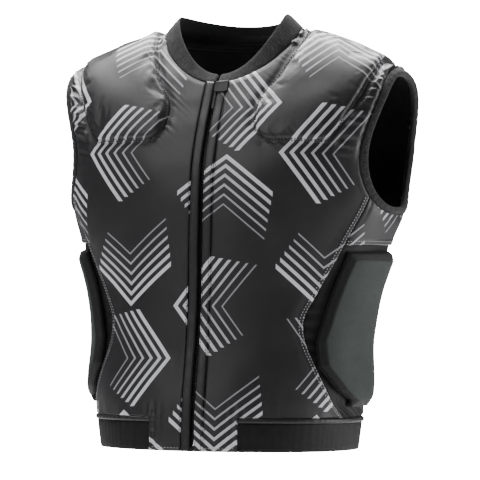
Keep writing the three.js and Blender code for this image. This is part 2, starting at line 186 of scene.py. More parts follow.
@dataclass
class Form:
    """The smooth surface that the pieces of the vest lie on."""

    body_length: float = 0.498
    half_width: float = 0.219
    body_depth: float = 0.230
    waistband_height: float = 0.036
    knots: Array = field(init=False)
    lengths: Array = field(init=False)

    def __post_init__(self) -> None:
        """Turns the shares of SECTIONS into sizes, and measures the cloth."""
        table = np.array(SECTIONS, float)
        drops = table[:, [2, 4, 6]] * (self.body_length - self.waistband_height)
        drops[0] -= self.waistband_height
        deep = self.body_depth
        knots = np.column_stack([
            table[:, 0] * self.half_width, table[:, 1] * deep, drops[:, 0],
            table[:, 3] * deep, drops[:, 1], table[:, 5] * deep, drops[:, 2], table[:, 7:],
        ])
        ends = 2 * knots[0] - knots[1], 2 * knots[-1] - knots[-2]
        self.knots = np.vstack([ends[0], knots, ends[1]])
        self.lengths = self._measure()

    def section(self, row: Array) -> Array:
        """The form's lines at some rows, as the last axis of an array."""
        row = np.asarray(row, float)
        i = np.clip(np.floor(row).astype(int), 0, int(NECK_ROW) - 1)
        w = (row - i)[..., None]
        a, b, c, d = (self.knots[i + n] for n in range(4))
        return 0.5 * (
            2 * b + (c - a) * w + (2 * a - 5 * b + 4 * c - d) * w**2 + (3 * b - a - 3 * c + d) * w**3
        )

    @staticmethod
    def ring(angle: Array, lines: Array) -> Array:
        """Points of rings whose side, front and back lines are given."""
        side_x, side_y, side_z, front_y, front_z, back_y, back_z, square, crown, behind = np.moveaxis(
            lines, -1, 0,
        )
        c, s = np.cos(np.radians(angle)), np.sin(np.radians(angle))
        power = 2 / np.where(c >= 0, square, behind)
        along = np.abs(c) ** power
        sink = np.abs(c) ** crown
        centre_y = np.where(c >= 0, front_y, back_y)
        centre_z = np.where(c >= 0, front_z, back_z)
        return np.stack([
            side_x * np.sign(s) * np.abs(s) ** power,
            side_y + (centre_y - side_y) * along,
            side_z + (centre_z - side_z) * sink,
        ], axis=-1)

    def point(self, angle: Array, row: Array) -> Array:
        """Points of the form."""
        angle, row = np.broadcast_arrays(np.asarray(angle, float), np.asarray(row, float))
        return self.ring(angle, self.section(row))

    def normal(self, angle: Array, row: Array) -> Array:
        """Outward normals of the form."""
        edge = 0.02
        row = np.clip(row, edge, NECK_ROW - edge)
        round_step = self.point(angle + 1.5, row) - self.point(angle - 1.5, row)
        up_step = self.point(angle, row + edge) - self.point(angle, row - edge)
        cross = np.cross(round_step, up_step)
        return cross / np.linalg.norm(cross, axis=-1, keepdims=True)

    def lifted(self, angle: Array, row: Array | float, height: Array | float) -> Array:
        """Points at a height over the form."""
        return self.point(angle, row) + self.normal(angle, row) * np.asarray(height)[..., None]

    def angle_at(self, x: Array | float, row: Array) -> Array:
        """The angle at which a row is a distance x from the middle."""
        lines = self.section(row)
        share = np.abs(x) / lines[..., 0]
        return np.sign(x) * np.degrees(np.arcsin(share ** (lines[..., 7] / 2)))

    def angle_for(self, size: float, angle: Array, row: Array) -> Array:
        """The angle that a short distance takes up."""
        step = self.point(np.asarray(angle) + 1, row) - self.point(np.asarray(angle) - 1, row)
        return 2 * size / np.linalg.norm(step, axis=-1)

    def rows_for(self, size: float, angle: Array, row: Array) -> Array:
        """The rows that a short distance takes up."""
        step = self.point(angle, np.asarray(row) + 0.05) - self.point(angle, np.asarray(row) - 0.05)
        return 0.1 * size / np.linalg.norm(step, axis=-1)

    def _measure(self) -> Array:
        """Lengths round and up the form at each degree and twentieth of a row."""
        angles, rows = np.meshgrid(np.arange(181.0), np.linspace(0, NECK_ROW, 201))
        points = self.point(angles, rows)
        round_steps = np.linalg.norm(np.diff(points, axis=1), axis=2)
        up_steps = np.linalg.norm(np.diff(points, axis=0), axis=2)
        lengths = np.zeros(points.shape[:2] + (2,))
        lengths[:, 1:, 0] = np.cumsum(round_steps, axis=1)
        lengths[1:, :, 1] = np.cumsum(up_steps, axis=0)
        return lengths

    def cloth(self, angle: Array, row: Array) -> Array:
        """Flat cloth coordinates, in metres, of places on the form."""
        turned = np.abs(angle)
        beyond = turned > 180
        folded = np.where(beyond, 360 - turned, turned)
        column = np.clip(folded, 0, 179.999)
        level = np.clip(row, 0, NECK_ROW - 0.001) * 20
        i, j = np.floor(level).astype(int), np.floor(column).astype(int)
        a, b = (level - i)[..., None], (column - j)[..., None]
        table = self.lengths
        low = table[i, j] * (1 - b) + table[i, j + 1] * b
        high = table[i + 1, j] * (1 - b) + table[i + 1, j + 1] * b
        uv = low * (1 - a) + high * a
        half_ring = table[i, 180, 0] * (1 - a[..., 0]) + table[i + 1, 180, 0] * a[..., 0]
        u = np.where(beyond, 2 * half_ring - uv[..., 0], uv[..., 0]) * np.sign(angle + 1e-9)
        return np.stack([u, uv[..., 1]], axis=-1)


FORM = Form()


class Pattern:
    """Half of the form's front or back laid out flat, as its cloth was cut.

    A coarse net over it is relaxed until its threads keep their lengths.
    """

    def __init__(self, front: bool, rounds: int = 150) -> None:
        """Lays the net flat.

        Args:
            front: whether this is the front.
            rounds: how often the net is relaxed.
        """
        self.front = front
        self.angles = np.linspace(0, 96, 17) if front else np.linspace(84, 180, 17)
        self.rows = np.linspace(0, NECK_ROW, 31)
        angle, row = np.meshgrid(self.angles, self.rows)
        points = FORM.point(angle, row).reshape(-1, 3)
        number = np.arange(angle.size).reshape(angle.shape)
        pairs = [
            (number[:, :-1], number[:, 1:]), (number[:-1], number[1:]),
            (number[:-1, :-1], number[1:, 1:]), (number[1:, :-1], number[:-1, 1:]),
        ]
        first = np.concatenate([a.ravel() for a, _ in pairs])
        second = np.concatenate([b.ravel() for _, b in pairs])
        length = np.linalg.norm(points[first] - points[second], axis=1)
        weight = 1 / length**2
        spread = np.zeros((angle.size, angle.size))
        np.add.at(spread, (first, second), -weight)
        np.add.at(spread, (second, first), -weight)
        spread -= np.diag(spread.sum(axis=1))
        settle = np.linalg.pinv(spread)
        guess = self.rough(angle, row)
        flat = guess.reshape(-1, 2)
        for _ in range(rounds):
            span = flat[first] - flat[second]
            wanted = span / np.linalg.norm(span, axis=1, keepdims=True) * (length * weight)[:, None]
            pull = np.zeros_like(flat)
            np.add.at(pull, first, wanted)
            np.add.at(pull, second, -wanted)
            flat = settle @ pull
        middle = flat[number[:, 0 if front else -1]]
        up = middle[-1] - middle[0]
        turn = math.atan2(up[0], up[1])
        flat = ((flat - middle[0]) @ turned(turn).T).reshape(guess.shape)
        centre = flat[:, :1, 0] if front else flat[:, -1:, 0]
        share = np.linspace(1, 0, len(self.angles)) if front else np.linspace(0, 1, len(self.angles))
        flat[..., 0] -= centre * share
        self.shift = flat - guess

    def rough(self, angle: Array, row: Array) -> Array:
        """A first guess at the flat coordinates, from the centre line."""
        uv = FORM.cloth(angle, row)
        if not self.front:
            uv[..., 0] -= FORM.cloth(np.full_like(angle, 180), row)[..., 0]
        return uv

    def uv(self, angle: Array, row: Array) -> Array:
        """Flat cloth coordinates, in metres, of places on this half or its mirror image."""
        angle, row = np.asarray(angle, float), np.asarray(row, float)
        if self.front:
            mirror = angle < 0
            folded = np.abs(angle)
        else:
            folded = np.abs(angle)
            mirror = (folded > 180) | (angle < 0)
            folded = np.where(folded > 180, 360 - folded, folded)
        step = self.angles[1] - self.angles[0]
        column = np.clip((folded - self.angles[0]) / step, 0, len(self.angles) - 1 - 1e-9)
        level = np.clip(row / (self.rows[1] - self.rows[0]), 0, len(self.rows) - 1 - 1e-9)
        i, j = np.floor(level).astype(int), np.floor(column).astype(int)
        a, b = (level - i)[..., None], (column - j)[..., None]
        low = self.shift[i, j] * (1 - b) + self.shift[i, j + 1] * b
        high = self.shift[i + 1, j] * (1 - b) + self.shift[i + 1, j + 1] * b
        uv = self.rough(folded, row) + low * (1 - a) + high * a
        uv[..., 0] *= np.where(mirror, -1, 1)
        return uv


def turned(angle: float) -> Array:
    """The matrix that turns flat points to the left."""
    c, s = math.cos(angle), math.sin(angle)
    return np.array([[c, -s], [s, c]])


FRONT_PATTERN = Pattern(front=True)
BACK_PATTERN = Pattern(front=False)


def over_shoulder(angle: Array, row: Array) -> Array:
    """Cloth coordinates that run on from the front over the shoulder and down the back."""
    ridge = np.linspace(8.4, 9.95, 12)
    side = np.full(12, 90.0)
    ahead, behind = FRONT_PATTERN.uv(side, ridge), BACK_PATTERN.uv(side, ridge)
    middles = ahead.mean(axis=0), behind.mean(axis=0)
    u, _, v = np.linalg.svd((behind - middles[1]).T @ (ahead - middles[0]))
    turn = v.T @ np.diag([1, np.sign(np.linalg.det(v.T @ u.T))]) @ u.T
    folded = np.abs(angle)
    on = (BACK_PATTERN.uv(folded, row) - middles[1]) @ turn.T + middles[0]
    uv = np.where((folded > 90)[..., None], on, FRONT_PATTERN.uv(folded, row))
    uv[..., 0] *= np.where(angle < 0, -1, 1)
    return uv


@dataclass(frozen=True)
class Armhole:
    """The oval of an armhole, in rows and degrees."""

    row: float = 7.05
    half_rows: float = 1.15
    half_angle: float = 31
    square: float = 2.2

    def edge(self, stop: Array, size: float) -> tuple[Array, Array]:
        """Angles and rows of the oval, grown by a size.

        Args:
            stop: degrees round the oval, from its front.
            size: the distance that it grows outwards.

        Returns:
            The angles and the rows.
        """
        grow_angle = FORM.angle_for(size, 90 - self.half_angle, self.row)
        grow_rows = FORM.rows_for(size, 90, self.row + self.half_rows)
        c, s = np.cos(np.radians(stop)), np.sin(np.radians(stop))
        power = 2 / self.square
        reach = np.sign(c) * np.abs(c) ** power
        rise = np.sign(s) * np.abs(s) ** power
        return (
            90 - (self.half_angle + grow_angle) * reach,
            self.row + (self.half_rows + grow_rows) * rise,
        )


ARMHOLE = Armhole()
PANEL_GROWTH = BINDING_WIDTH + SEAM_EASE
LINING_CLEAR = 1.5 * MM
FOOT_ROW = float(BAND_TOP_ROW + FORM.rows_for(PIPING_WIDTH / 2 + GAP, 90, BAND_TOP_ROW + 0.1))
TOP_ROW = float(NECK_ROW - FORM.rows_for(GAP, 0, NECK_ROW - 0.1))


@dataclass
class SeamRows:
    """Rows of the panels, foot first, with the edges that the seams or the armhole give them."""

    held: int = 110
    opened: int = 80
    shoulder: int = 40
    row: Array = field(init=False)
    front: Array = field(init=False)
    back: Array = field(init=False)

    def __post_init__(self) -> None:
        """Works out the edges."""
        meet_row = ARMHOLE.edge(MEETING_STOP, PANEL_GROWTH)[1]
        held_row = np.linspace(FOOT_ROW, meet_row, self.held)
        held_front, held_back = side_seams(held_row)
        stops = np.linspace(MEETING_STOP, 90, self.opened)[1:]
        open_front, open_row = ARMHOLE.edge(stops, PANEL_GROWTH)
        top = np.linspace(open_row[-1], TOP_ROW, self.shoulder)[1:]
        clear = FORM.angle_for(GAP, 90, top)
        self.row = np.concatenate([held_row, open_row, top])
        self.front = np.concatenate([held_front, open_front, 90 - clear])
        self.back = np.concatenate([held_back, 180 - open_front, 90 + clear])


def side_seams(row: Array) -> tuple[Array, Array]:
    """The front and back seams of the side, at some rows."""
    meet_angle, meet_row = ARMHOLE.edge(MEETING_STOP, PANEL_GROWTH)
    rows = [r[0] for r in SIDE_SEAMS] + [float(meet_row)]
    front = [r[1] for r in SIDE_SEAMS] + [float(meet_angle)]
    back = [r[2] for r in SIDE_SEAMS] + [180 - float(meet_angle)]
    return hermite(row, rows, front), hermite(row, rows, back)


@dataclass(frozen=True)
class Ripple:
    """Soft uneven waves through space, the same in each run."""

    size: float
    height: float
    seed: int
    waves: int = 8

    def at(self, points: Array) -> Array:
        """The waves' height at some points."""
        random = np.random.default_rng(self.seed)
        directions = random.normal(size=(self.waves, 3))
        directions /= np.linalg.norm(directions, axis=1, keepdims=True)
        speeds = 2 * np.pi / self.size * random.uniform(0.6, 1.5, self.waves)
        phases = random.uniform(0, 2 * np.pi, self.waves)
        total = np.sin(points @ (directions * speeds[:, None]).T + phases).sum(axis=-1)
        return self.height * total / math.sqrt(self.waves)


def fan(start: Array, end: Array, cells: int) -> Array:
    """A grid with a row for each start, which runs evenly from it to its end."""
    return start[:, None] + (end - start)[:, None] * np.linspace(0, 1, cells + 1)


def rounded(cells: int, square: float, flat: float) -> tuple[Array, Array]:
    """The section of a band, from -1 to 1 each way, closed and with rounded corners.

    Args:
        cells: steps round the section.
        square: power of the curve across, small for square corners.
        flat: power of the curve through the band.

    Returns:
        Places across the band and through it.
    """
    turn = np.linspace(0, 2 * np.pi, cells + 1)
    c, s = np.cos(turn), np.sin(turn)
    return np.sign(c) * np.abs(c) ** square, np.sign(s) * np.abs(s) ** flat


def strip_cloth(along: Array, across: Array) -> Array:
    """Cloth coordinates of a straight strip, as a grid."""
    return np.stack(np.meshgrid(along, across, indexing="ij"), axis=-1)


def soft_least(sizes: Sequence[Array], softness: float) -> Array:
    """The least of some distances, rounded where two of them are alike, and never below nothing."""
    return np.maximum(-np.log(np.exp(-np.stack(sizes) / softness).sum(axis=0)) * softness, 0)


class Patch:
    """A patch of cloth on the form, as a grid of angles and rows."""

    def __init__(self, angle: Array, row: Array, cut: Callable[[Array, Array], Array] = FORM.cloth) -> None:
        """Measures the patch.

        Args:
            angle: angles of the grid, row by row.
            row: rows of the form, of the same shape.
            cut: gives the cloth coordinates of places on the form.
        """
        self.angle, self.row = np.broadcast_arrays(angle, row)
        self.points = FORM.point(self.angle, self.row)
        self.normals = FORM.normal(self.angle, self.row)
        self.uv = cut(self.angle, self.row)
        self.from_start, self.from_end = self._reach(1)
        self.from_foot, self.from_top = self._reach(0)

    def _reach(self, axis: int) -> tuple[Array, Array]:
        """Distances from the two edges that an axis runs between."""
        steps = np.linalg.norm(np.diff(self.points, axis=axis), axis=2)
        run = np.zeros(self.angle.shape)
        run[(slice(None), slice(1, None)) if axis else slice(1, None)] = np.cumsum(steps, axis=axis)
        total = run[:, -1:] if axis else run[-1:]
        return run, total - run

    def from_rim(self, softness: float) -> Array:
        """Distances from the nearest edge, with the corners rounded."""
        return soft_least([self.from_start, self.from_end, self.from_foot, self.from_top], softness)

    def slant(self) -> Array:
        """Length along the cloth, measured on the slant."""
        return self.uv[..., 1] + self.uv[..., 0] * 0.8

    def lifted(self, height: Array | float) -> Array:
        """The patch's points at a height over the form."""
        return self.points + self.normals * np.broadcast_to(height, self.angle.shape)[..., None]


@dataclass(frozen=True)
class Puckers:
    """The small waves that a line of stitches pulls into cloth, with their size at the stitches."""

    pitch: float
    height: float
    reach: float

    def at(self, distance: Array, along: Array) -> Array:
        """The waves' height.

        Args:
            distance: how far the cloth is from the stitches.
            along: length along the stitches.

        Returns:
            Heights.
        """
        uneven = 0.6 + 0.4 * np.sin(along * 2 * np.pi / (self.pitch * 3.7) + 1.3)
        swing = 2.1 * np.sin(along * 2 * np.pi / (self.pitch * 5.3))
        waves = np.sin(along * 2 * np.pi / self.pitch + swing)
        return self.height * uneven * waves * np.exp(-np.abs(distance) / self.reach)


SIDE_SEAM = Puckers(pitch=0.0083, height=0.28 * MM, reach=0.007)
ARMHOLE_SEAM = Puckers(pitch=0.011, height=0.5 * MM, reach=0.013)
PAD_SEAM = Puckers(pitch=0.0105, height=0.55 * MM, reach=0.011)
PAD_FLANGE = Puckers(pitch=0.0085, height=0.5 * MM, reach=0.006)
GUSSET_TOP = Puckers(pitch=0.012, height=0.6 * MM, reach=0.014)
GUSSET_HEM = Puckers(pitch=0.0085, height=0.25 * MM, reach=0.007)


def link(name: str, shape: bmesh.types.BMesh) -> bpy.types.Object:
    """Makes a shape a piece of the scene, and frees the shape."""
    mesh = bpy.data.meshes.new(name)
    shape.to_mesh(mesh)
    shape.free()
    piece = bpy.data.objects.new(name, mesh)
    bpy.context.scene.collection.objects.link(piece)
    return piece


@contextmanager
def reshaped(mesh: bpy.types.Mesh) -> Iterator[bmesh.types.BMesh]:
    """Opens a mesh for changes, and writes them back."""
    shape = bmesh.new()
    shape.from_mesh(mesh)
    yield shape
    shape.to_mesh(mesh)
    shape.free()


def places_of(mesh: bpy.types.Mesh) -> Array:
    """Where a mesh's vertices are."""
    flat = np.zeros(len(mesh.vertices) * 3)
    mesh.vertices.foreach_get("co", flat)
    return flat.reshape(-1, 3)


def mesh_of(name: str, points: Array, uv: Array, keep: Array | None = None) -> bpy.types.Object:
    """A piece from a grid of points.

    Args:
        name: the piece's name.
        points: the grid's points, row by row.
        uv: cloth coordinates of the same grid, in metres.
        keep: which cells of the grid stay, or None for all.

    Returns:
        The new object.
    """
    rows, columns = points.shape[:2]
    sheet = bmesh.new()
    sheet.loops.layers.uv.new("Cloth")
    bmesh.ops.create_grid(sheet, x_segments=columns - 1, y_segments=rows - 1, size=1, calc_uvs=True)
    piece = link(name, sheet)
    mesh = piece.data
    flat = places_of(mesh)
    column = np.rint((flat[:, 0] + 1) / 2 * (columns - 1)).astype(int)
    row = np.rint((flat[:, 1] + 1) / 2 * (rows - 1)).astype(int)
    mesh.vertices.foreach_set("co", points[row, column].ravel())
    corners = np.zeros(len(mesh.loops), int)
    mesh.loops.foreach_get("vertex_index", corners)
    mesh.uv_layers[0].data.foreach_set("uv", uv[row, column][corners].ravel())
    if keep is not None:
        with reshaped(mesh) as trimmed:
            gone = []
            for face in trimmed.faces:
                ids = [v.index for v in face.verts]
                if not keep[row[ids].min(), column[ids].min()]:
                    gone.append(face)
            bmesh.ops.delete(trimmed, geom=gone, context="FACES")
    mesh.update()
    return piece


def copies(name: str, seed: bmesh.types.BMesh, middles: Array, axes: Array) -> bpy.types.Object:
    """A piece that is made of copies of one small shape.

    Args:
        name: the piece's name.
        seed: the shape, which is freed.
        middles: where each copy is.
        axes: for each copy what becomes of the shape's x, y and z.

    Returns:
        The new object.
    """
    loop = bpy.data.meshes.new(f"{name} seed")
    seed.to_mesh(loop)
    seed.free()
    unit = places_of(loop)
    many = bmesh.new()
    for _ in middles:
        many.from_mesh(loop)
    bpy.data.meshes.remove(loop)
    piece = link(name, many)
    points = middles[:, None] + unit @ axes
    piece.data.vertices.foreach_set("co", points.ravel())
    with reshaped(piece.data) as shell:
        bmesh.ops.recalc_face_normals(shell, faces=shell.faces)
    return piece


def bevelled_cube(offset: float, segments: int) -> bmesh.types.BMesh:
    """A cube of size one with bevelled edges."""
    block = bmesh.new()
    bmesh.ops.create_cube(block, size=1)
    bmesh.ops.bevel(
        block, geom=block.edges[:], offset=offset, segments=segments,
        profile=0.5, affect="EDGES", material=-1,
    )
    return block


def turn_out(piece: bpy.types.Object, normals: Array, points: Array) -> None:
    """Turns a grid's faces over if they face against the form's normals."""
    middle = normals[normals.shape[0] // 2, normals.shape[1] // 2]
    spot = Vector(points[points.shape[0] // 2, points.shape[1] // 2])
    nearest = min(piece.data.polygons, key=lambda p: (p.center - spot).length)
    if nearest.normal.dot(Vector(middle)) < 0:
        piece.data.flip_normals()


def shade_smooth(piece: bpy.types.Object) -> None:
    """Smooth shading over the whole piece."""
    piece.data.polygons.foreach_set("use_smooth", np.ones(len(piece.data.polygons), bool))
    piece.data.update()


def thicken(piece: bpy.types.Object, wall: float) -> None:
    """Gives a sheet its wall, inwards from its outer face."""
    solid = piece.modifiers.new("wall", "SOLIDIFY")
    solid.thickness = wall
    solid.offset = -1
    solid.use_rim = True
    solid.use_quality_normals = True


def sheet_piece(
    name: str, patch: Patch, height: Array | float, wall: float,
    keep: Array | None = None, sewn: Array | None = None, flat: bool = True,
) -> bpy.types.Object:
    """A cloth piece with its outer face at a height over the form.

    Args:
        name: the piece's name.
        patch: where it lies.
        height: how high its outer face lies over the form.
        wall: its thickness.
        keep: which cells of the grid stay, or None for all.
        sewn: how firmly the points of a filled cover are held, or None for plain cloth.
        flat: whether it is a sheet, and not the cover of a pad.

    Returns:
        The new object.
    """
    points = patch.lifted(height)
    piece = mesh_of(name, points, patch.uv, keep)
    turn_out(piece, patch.normals, points)
    shade_smooth(piece)
    if sewn is not None:
        settle(piece, sewn, pressure=2.5, spare=0.009, cap=1.8 * MM)
    thicken(piece, wall)
    if flat:
        declare_cut(patch.points)
    return piece


def declare_cut(points: Array) -> None:
    """Measures the sides and diagonals of a piece's cells on the form, and keeps nothing.

    Args:
        points: the grid of its places on the form.
    """
    across = np.linalg.norm(points[:-1, 1:] - points[:-1, :-1], axis=2)
    along = np.linalg.norm(points[1:, :-1] - points[:-1, :-1], axis=2)
    diagonals = np.cross(points[1:, 1:] - points[:-1, :-1], points[1:, :-1] - points[:-1, 1:])


def settle(piece: bpy.types.Object, sewn: Array, pressure: float, spare: float, cap: float) -> None:
    """Fills a pad's cover from below, as cloth that is held at its seams.

    Args:
        piece: the cover, still without its wall.
        sewn: how firmly each point is held, from 0 up to 1.
        pressure: the push of the filling.
        spare: how much larger than its seams the cover is cut, as a share.
        cap: how far a point may move, in metres.
    """
    start = places_of(piece.data)
    held = piece.vertex_groups.new(name="sewn")
    for i, weight in enumerate(sewn.ravel()):
        if weight > 0.001:
            held.add([i], float(weight), "REPLACE")
    cloth = piece.modifiers.new("settle", "CLOTH")
    values = {
        "quality": 4, "mass": 0.25, "tension_stiffness": 15, "compression_stiffness": 15,
        "shear_stiffness": 5, "bending_stiffness": 0.6, "vertex_group_mass": "sewn",
        "shrink_min": -spare, "use_pressure": True, "uniform_pressure_force": pressure,
    }
    for name, value in values.items():
        setattr(cloth.settings, name, value)
    cloth.settings.effector_weights.gravity = 0
    cloth.collision_settings.use_collision = False
    cloth.collision_settings.use_self_collision = False
    for number in range(1, SETTLE_FRAMES + 1):
        bpy.context.scene.frame_set(number)
    shape = piece.evaluated_get(bpy.context.evaluated_depsgraph_get())
    moved = places_of(shape.data) - start
    length = np.linalg.norm(moved, axis=1, keepdims=True)
    moved *= cap * np.tanh(length / cap) / np.maximum(length, 1e-9)
    log.info("%s settled by up to %.1f mm", piece.name, float(length.max()) * 1000)
    piece.modifiers.remove(cloth)
    piece.vertex_groups.remove(held)
    piece.data.vertices.foreach_set("co", (start + moved).ravel())
    piece.data.update()
    bpy.context.scene.frame_set(1)


def band_piece(name: str, points: Array, uv: Array, closed: bool = False) -> bpy.types.Object:
    """A band whose section closes on itself.

    Args:
        name: the piece's name.
        points: a row of points for each place along the band, its last point being its first.
        uv: cloth coordinates.
        closed: whether the band's two ends meet as well.

    Returns:
        The new object, with its ends filled where they don't meet.
    """
    piece = mesh_of(name, points, uv)
    with reshaped(piece.data) as shell:
        bmesh.ops.remove_doubles(shell, verts=shell.verts, dist=1e-6)
        if not closed:
            rims = [e for e in shell.edges if e.is_boundary]
            bmesh.ops.holes_fill(shell, edges=rims, sides=0)
        bmesh.ops.recalc_face_normals(shell, faces=shell.faces)
    shade_smooth(piece)
    return piece


def declare(
    piece: bpy.types.Object, material: bpy.types.Material, slot: str, *nodes: str,
) -> bpy.types.Object:
    """Gives a piece its finish and its body, and hides the CAD nodes that it stands for."""
    piece.data.materials.clear()
    piece.data.materials.append(material)
    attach(piece, "root")
    if nodes:
        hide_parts(*nodes)
    log.info("%s: %d faces", piece.name, len(piece.data.polygons))
    return piece


def srgb(screen: Screen, strength: float = 1.0) -> Colour:
    """A linear colour from 0 to 255 screen values, made lighter or darker by a strength."""
    linear = [
        v / 12.92 if v <= 0.04045 else ((v + 0.055) / 1.055) ** 2.4
        for v in (value * strength / 255 for value in screen)
    ]
    return (*linear, 1.0)


class Term:
    """A node's output that takes part in sums as a number does."""

    def __init__(self, tree: "Tree", socket: bpy.types.NodeSocket) -> None:
        """Wraps a socket of a tree."""
        self.tree = tree
        self.socket = socket

    def __add__(self, other: "Term | float") -> "Term":
        """Sum."""
        return self.tree.math("ADD", self, other)

    __radd__ = __add__

    def __sub__(self, other: "Term | float") -> "Term":
        """Difference."""
        return self.tree.math("SUBTRACT", self, other)

    def __rsub__(self, other: float) -> "Term":
        """Difference from a number."""
        return self.tree.math("SUBTRACT", other, self)

    def __mul__(self, other: "Term | float") -> "Term":
        """Product."""
        return self.tree.math("MULTIPLY", self, other)

    __rmul__ = __mul__

    def __truediv__(self, other: "Term | float") -> "Term":
        """Quotient."""
        return self.tree.math("DIVIDE", self, other)

    def __abs__(self) -> "Term":
        """Distance from nothing."""
        return self.tree.math("ABSOLUTE", self)

    def floor(self) -> "Term":
        """The whole number below."""
        return self.tree.math("FLOOR", self)

    def fraction(self) -> "Term":
        """What is above the whole number below."""
        return self.tree.math("FRACT", self)

    def sine(self) -> "Term":
        """Sine of the value as radians."""
        return self.tree.math("SINE", self)

    def past(self, low: "Term | float", high: "Term | float") -> "Term":
        """0 below low, 1 above high and a soft rise between."""
        node = self.tree.node(
            "ShaderNodeMapRange", {"interpolation_type": "SMOOTHSTEP"},
            {"Value": self, "From Min": low, "From Max": high},
        )
        return Term(self.tree, node.outputs[0])


class Tree:
    """The nodes of one finish, round a Principled shader."""

    def __init__(self, name: str) -> None:
        """Starts a material."""
        self.material = bpy.data.materials.new(name)
        self.material.use_nodes = True
        self.tree = self.material.node_tree
        self.shader = self.tree.nodes["Principled BSDF"]

    def node(self, kind: str, settings: dict | None = None, inputs: dict | None = None) -> bpy.types.Node:
        """Adds a node.

        Args:
            kind: the node's type.
            settings: its properties, which are set first.
            inputs: values or terms for its sockets, by name or number.

        Returns:
            The node.
        """
        node = self.tree.nodes.new(kind)
        for key, value in (settings or {}).items():
            setattr(node, key, value)
        for key, value in (inputs or {}).items():
            self.feed(node.inputs[key], value)
        return node

    def feed(self, socket: bpy.types.NodeSocket, value: "Term | float | Sequence[float]") -> None:
        """Links a term to a socket, or sets a plain value on it."""
        if isinstance(value, Term):
            self.tree.links.new(value.socket, socket)
        else:
            socket.default_value = value

    def math(self, operation: str, *values: "Term | float") -> Term:
        """One sum on values."""
        node = self.node("ShaderNodeMath", {"operation": operation}, dict(enumerate(values)))
        return Term(self, node.outputs[0])

    def waves(self, along: Term, length: float) -> Term:
        """A sine wave of a length, from -1 up to 1."""
        return (along * (2 * math.pi / length)).sine()

    def coordinates(self, kind: str = "UV") -> Term:
        """The piece's own coordinates."""
        return Term(self, self.node("ShaderNodeTexCoord").outputs[kind])

    def split(self, vector: Term) -> tuple[Term, Term, Term]:
        """The three parts of a vector."""
        node = self.node("ShaderNodeSeparateXYZ", None, {0: vector})
        return tuple(Term(self, out) for out in node.outputs)

    def noise(
        self, vector: Term, scale: float, detail: float = 2, stretch: Sequence[float] = (1, 1, 1),
    ) -> Term:
        """Cloudy noise of about 1 / scale metres."""
        mapped = self.node("ShaderNodeMapping", None, {"Vector": vector, "Scale": stretch})
        node = self.node(
            "ShaderNodeTexNoise", None,
            {"Vector": Term(self, mapped.outputs[0]), "Scale": scale, "Detail": detail},
        )
        return Term(self, node.outputs[0])

    def blend(self, factor: Term, low: "Term | Colour", high: "Term | Colour") -> Term:
        """A colour between two."""
        node = self.node(
            "ShaderNodeMix", {"data_type": "RGBA"}, {0: factor, 6: low, 7: high},
        )
        return Term(self, node.outputs[2])

    def bump(self, height: Term, distance: float, strength: float = 1.0) -> None:
        """Feeds a bump to the shader's normal, after any bump that is there."""
        inputs = {"Height": height, "Distance": distance, "Strength": strength}
        socket = self.shader.inputs["Normal"]
        if socket.is_linked:
            inputs["Normal"] = Term(self, socket.links[0].from_socket)
        node = self.node("ShaderNodeBump", None, inputs)
        self.tree.links.new(node.outputs[0], socket)

    def shade(self, **values: "Term | float | Colour") -> None:
        """Sets the shader's sockets, whose names have _ for a space."""
        for name, value in values.items():
            self.feed(self.shader.inputs[name.replace("_", " ")], value)


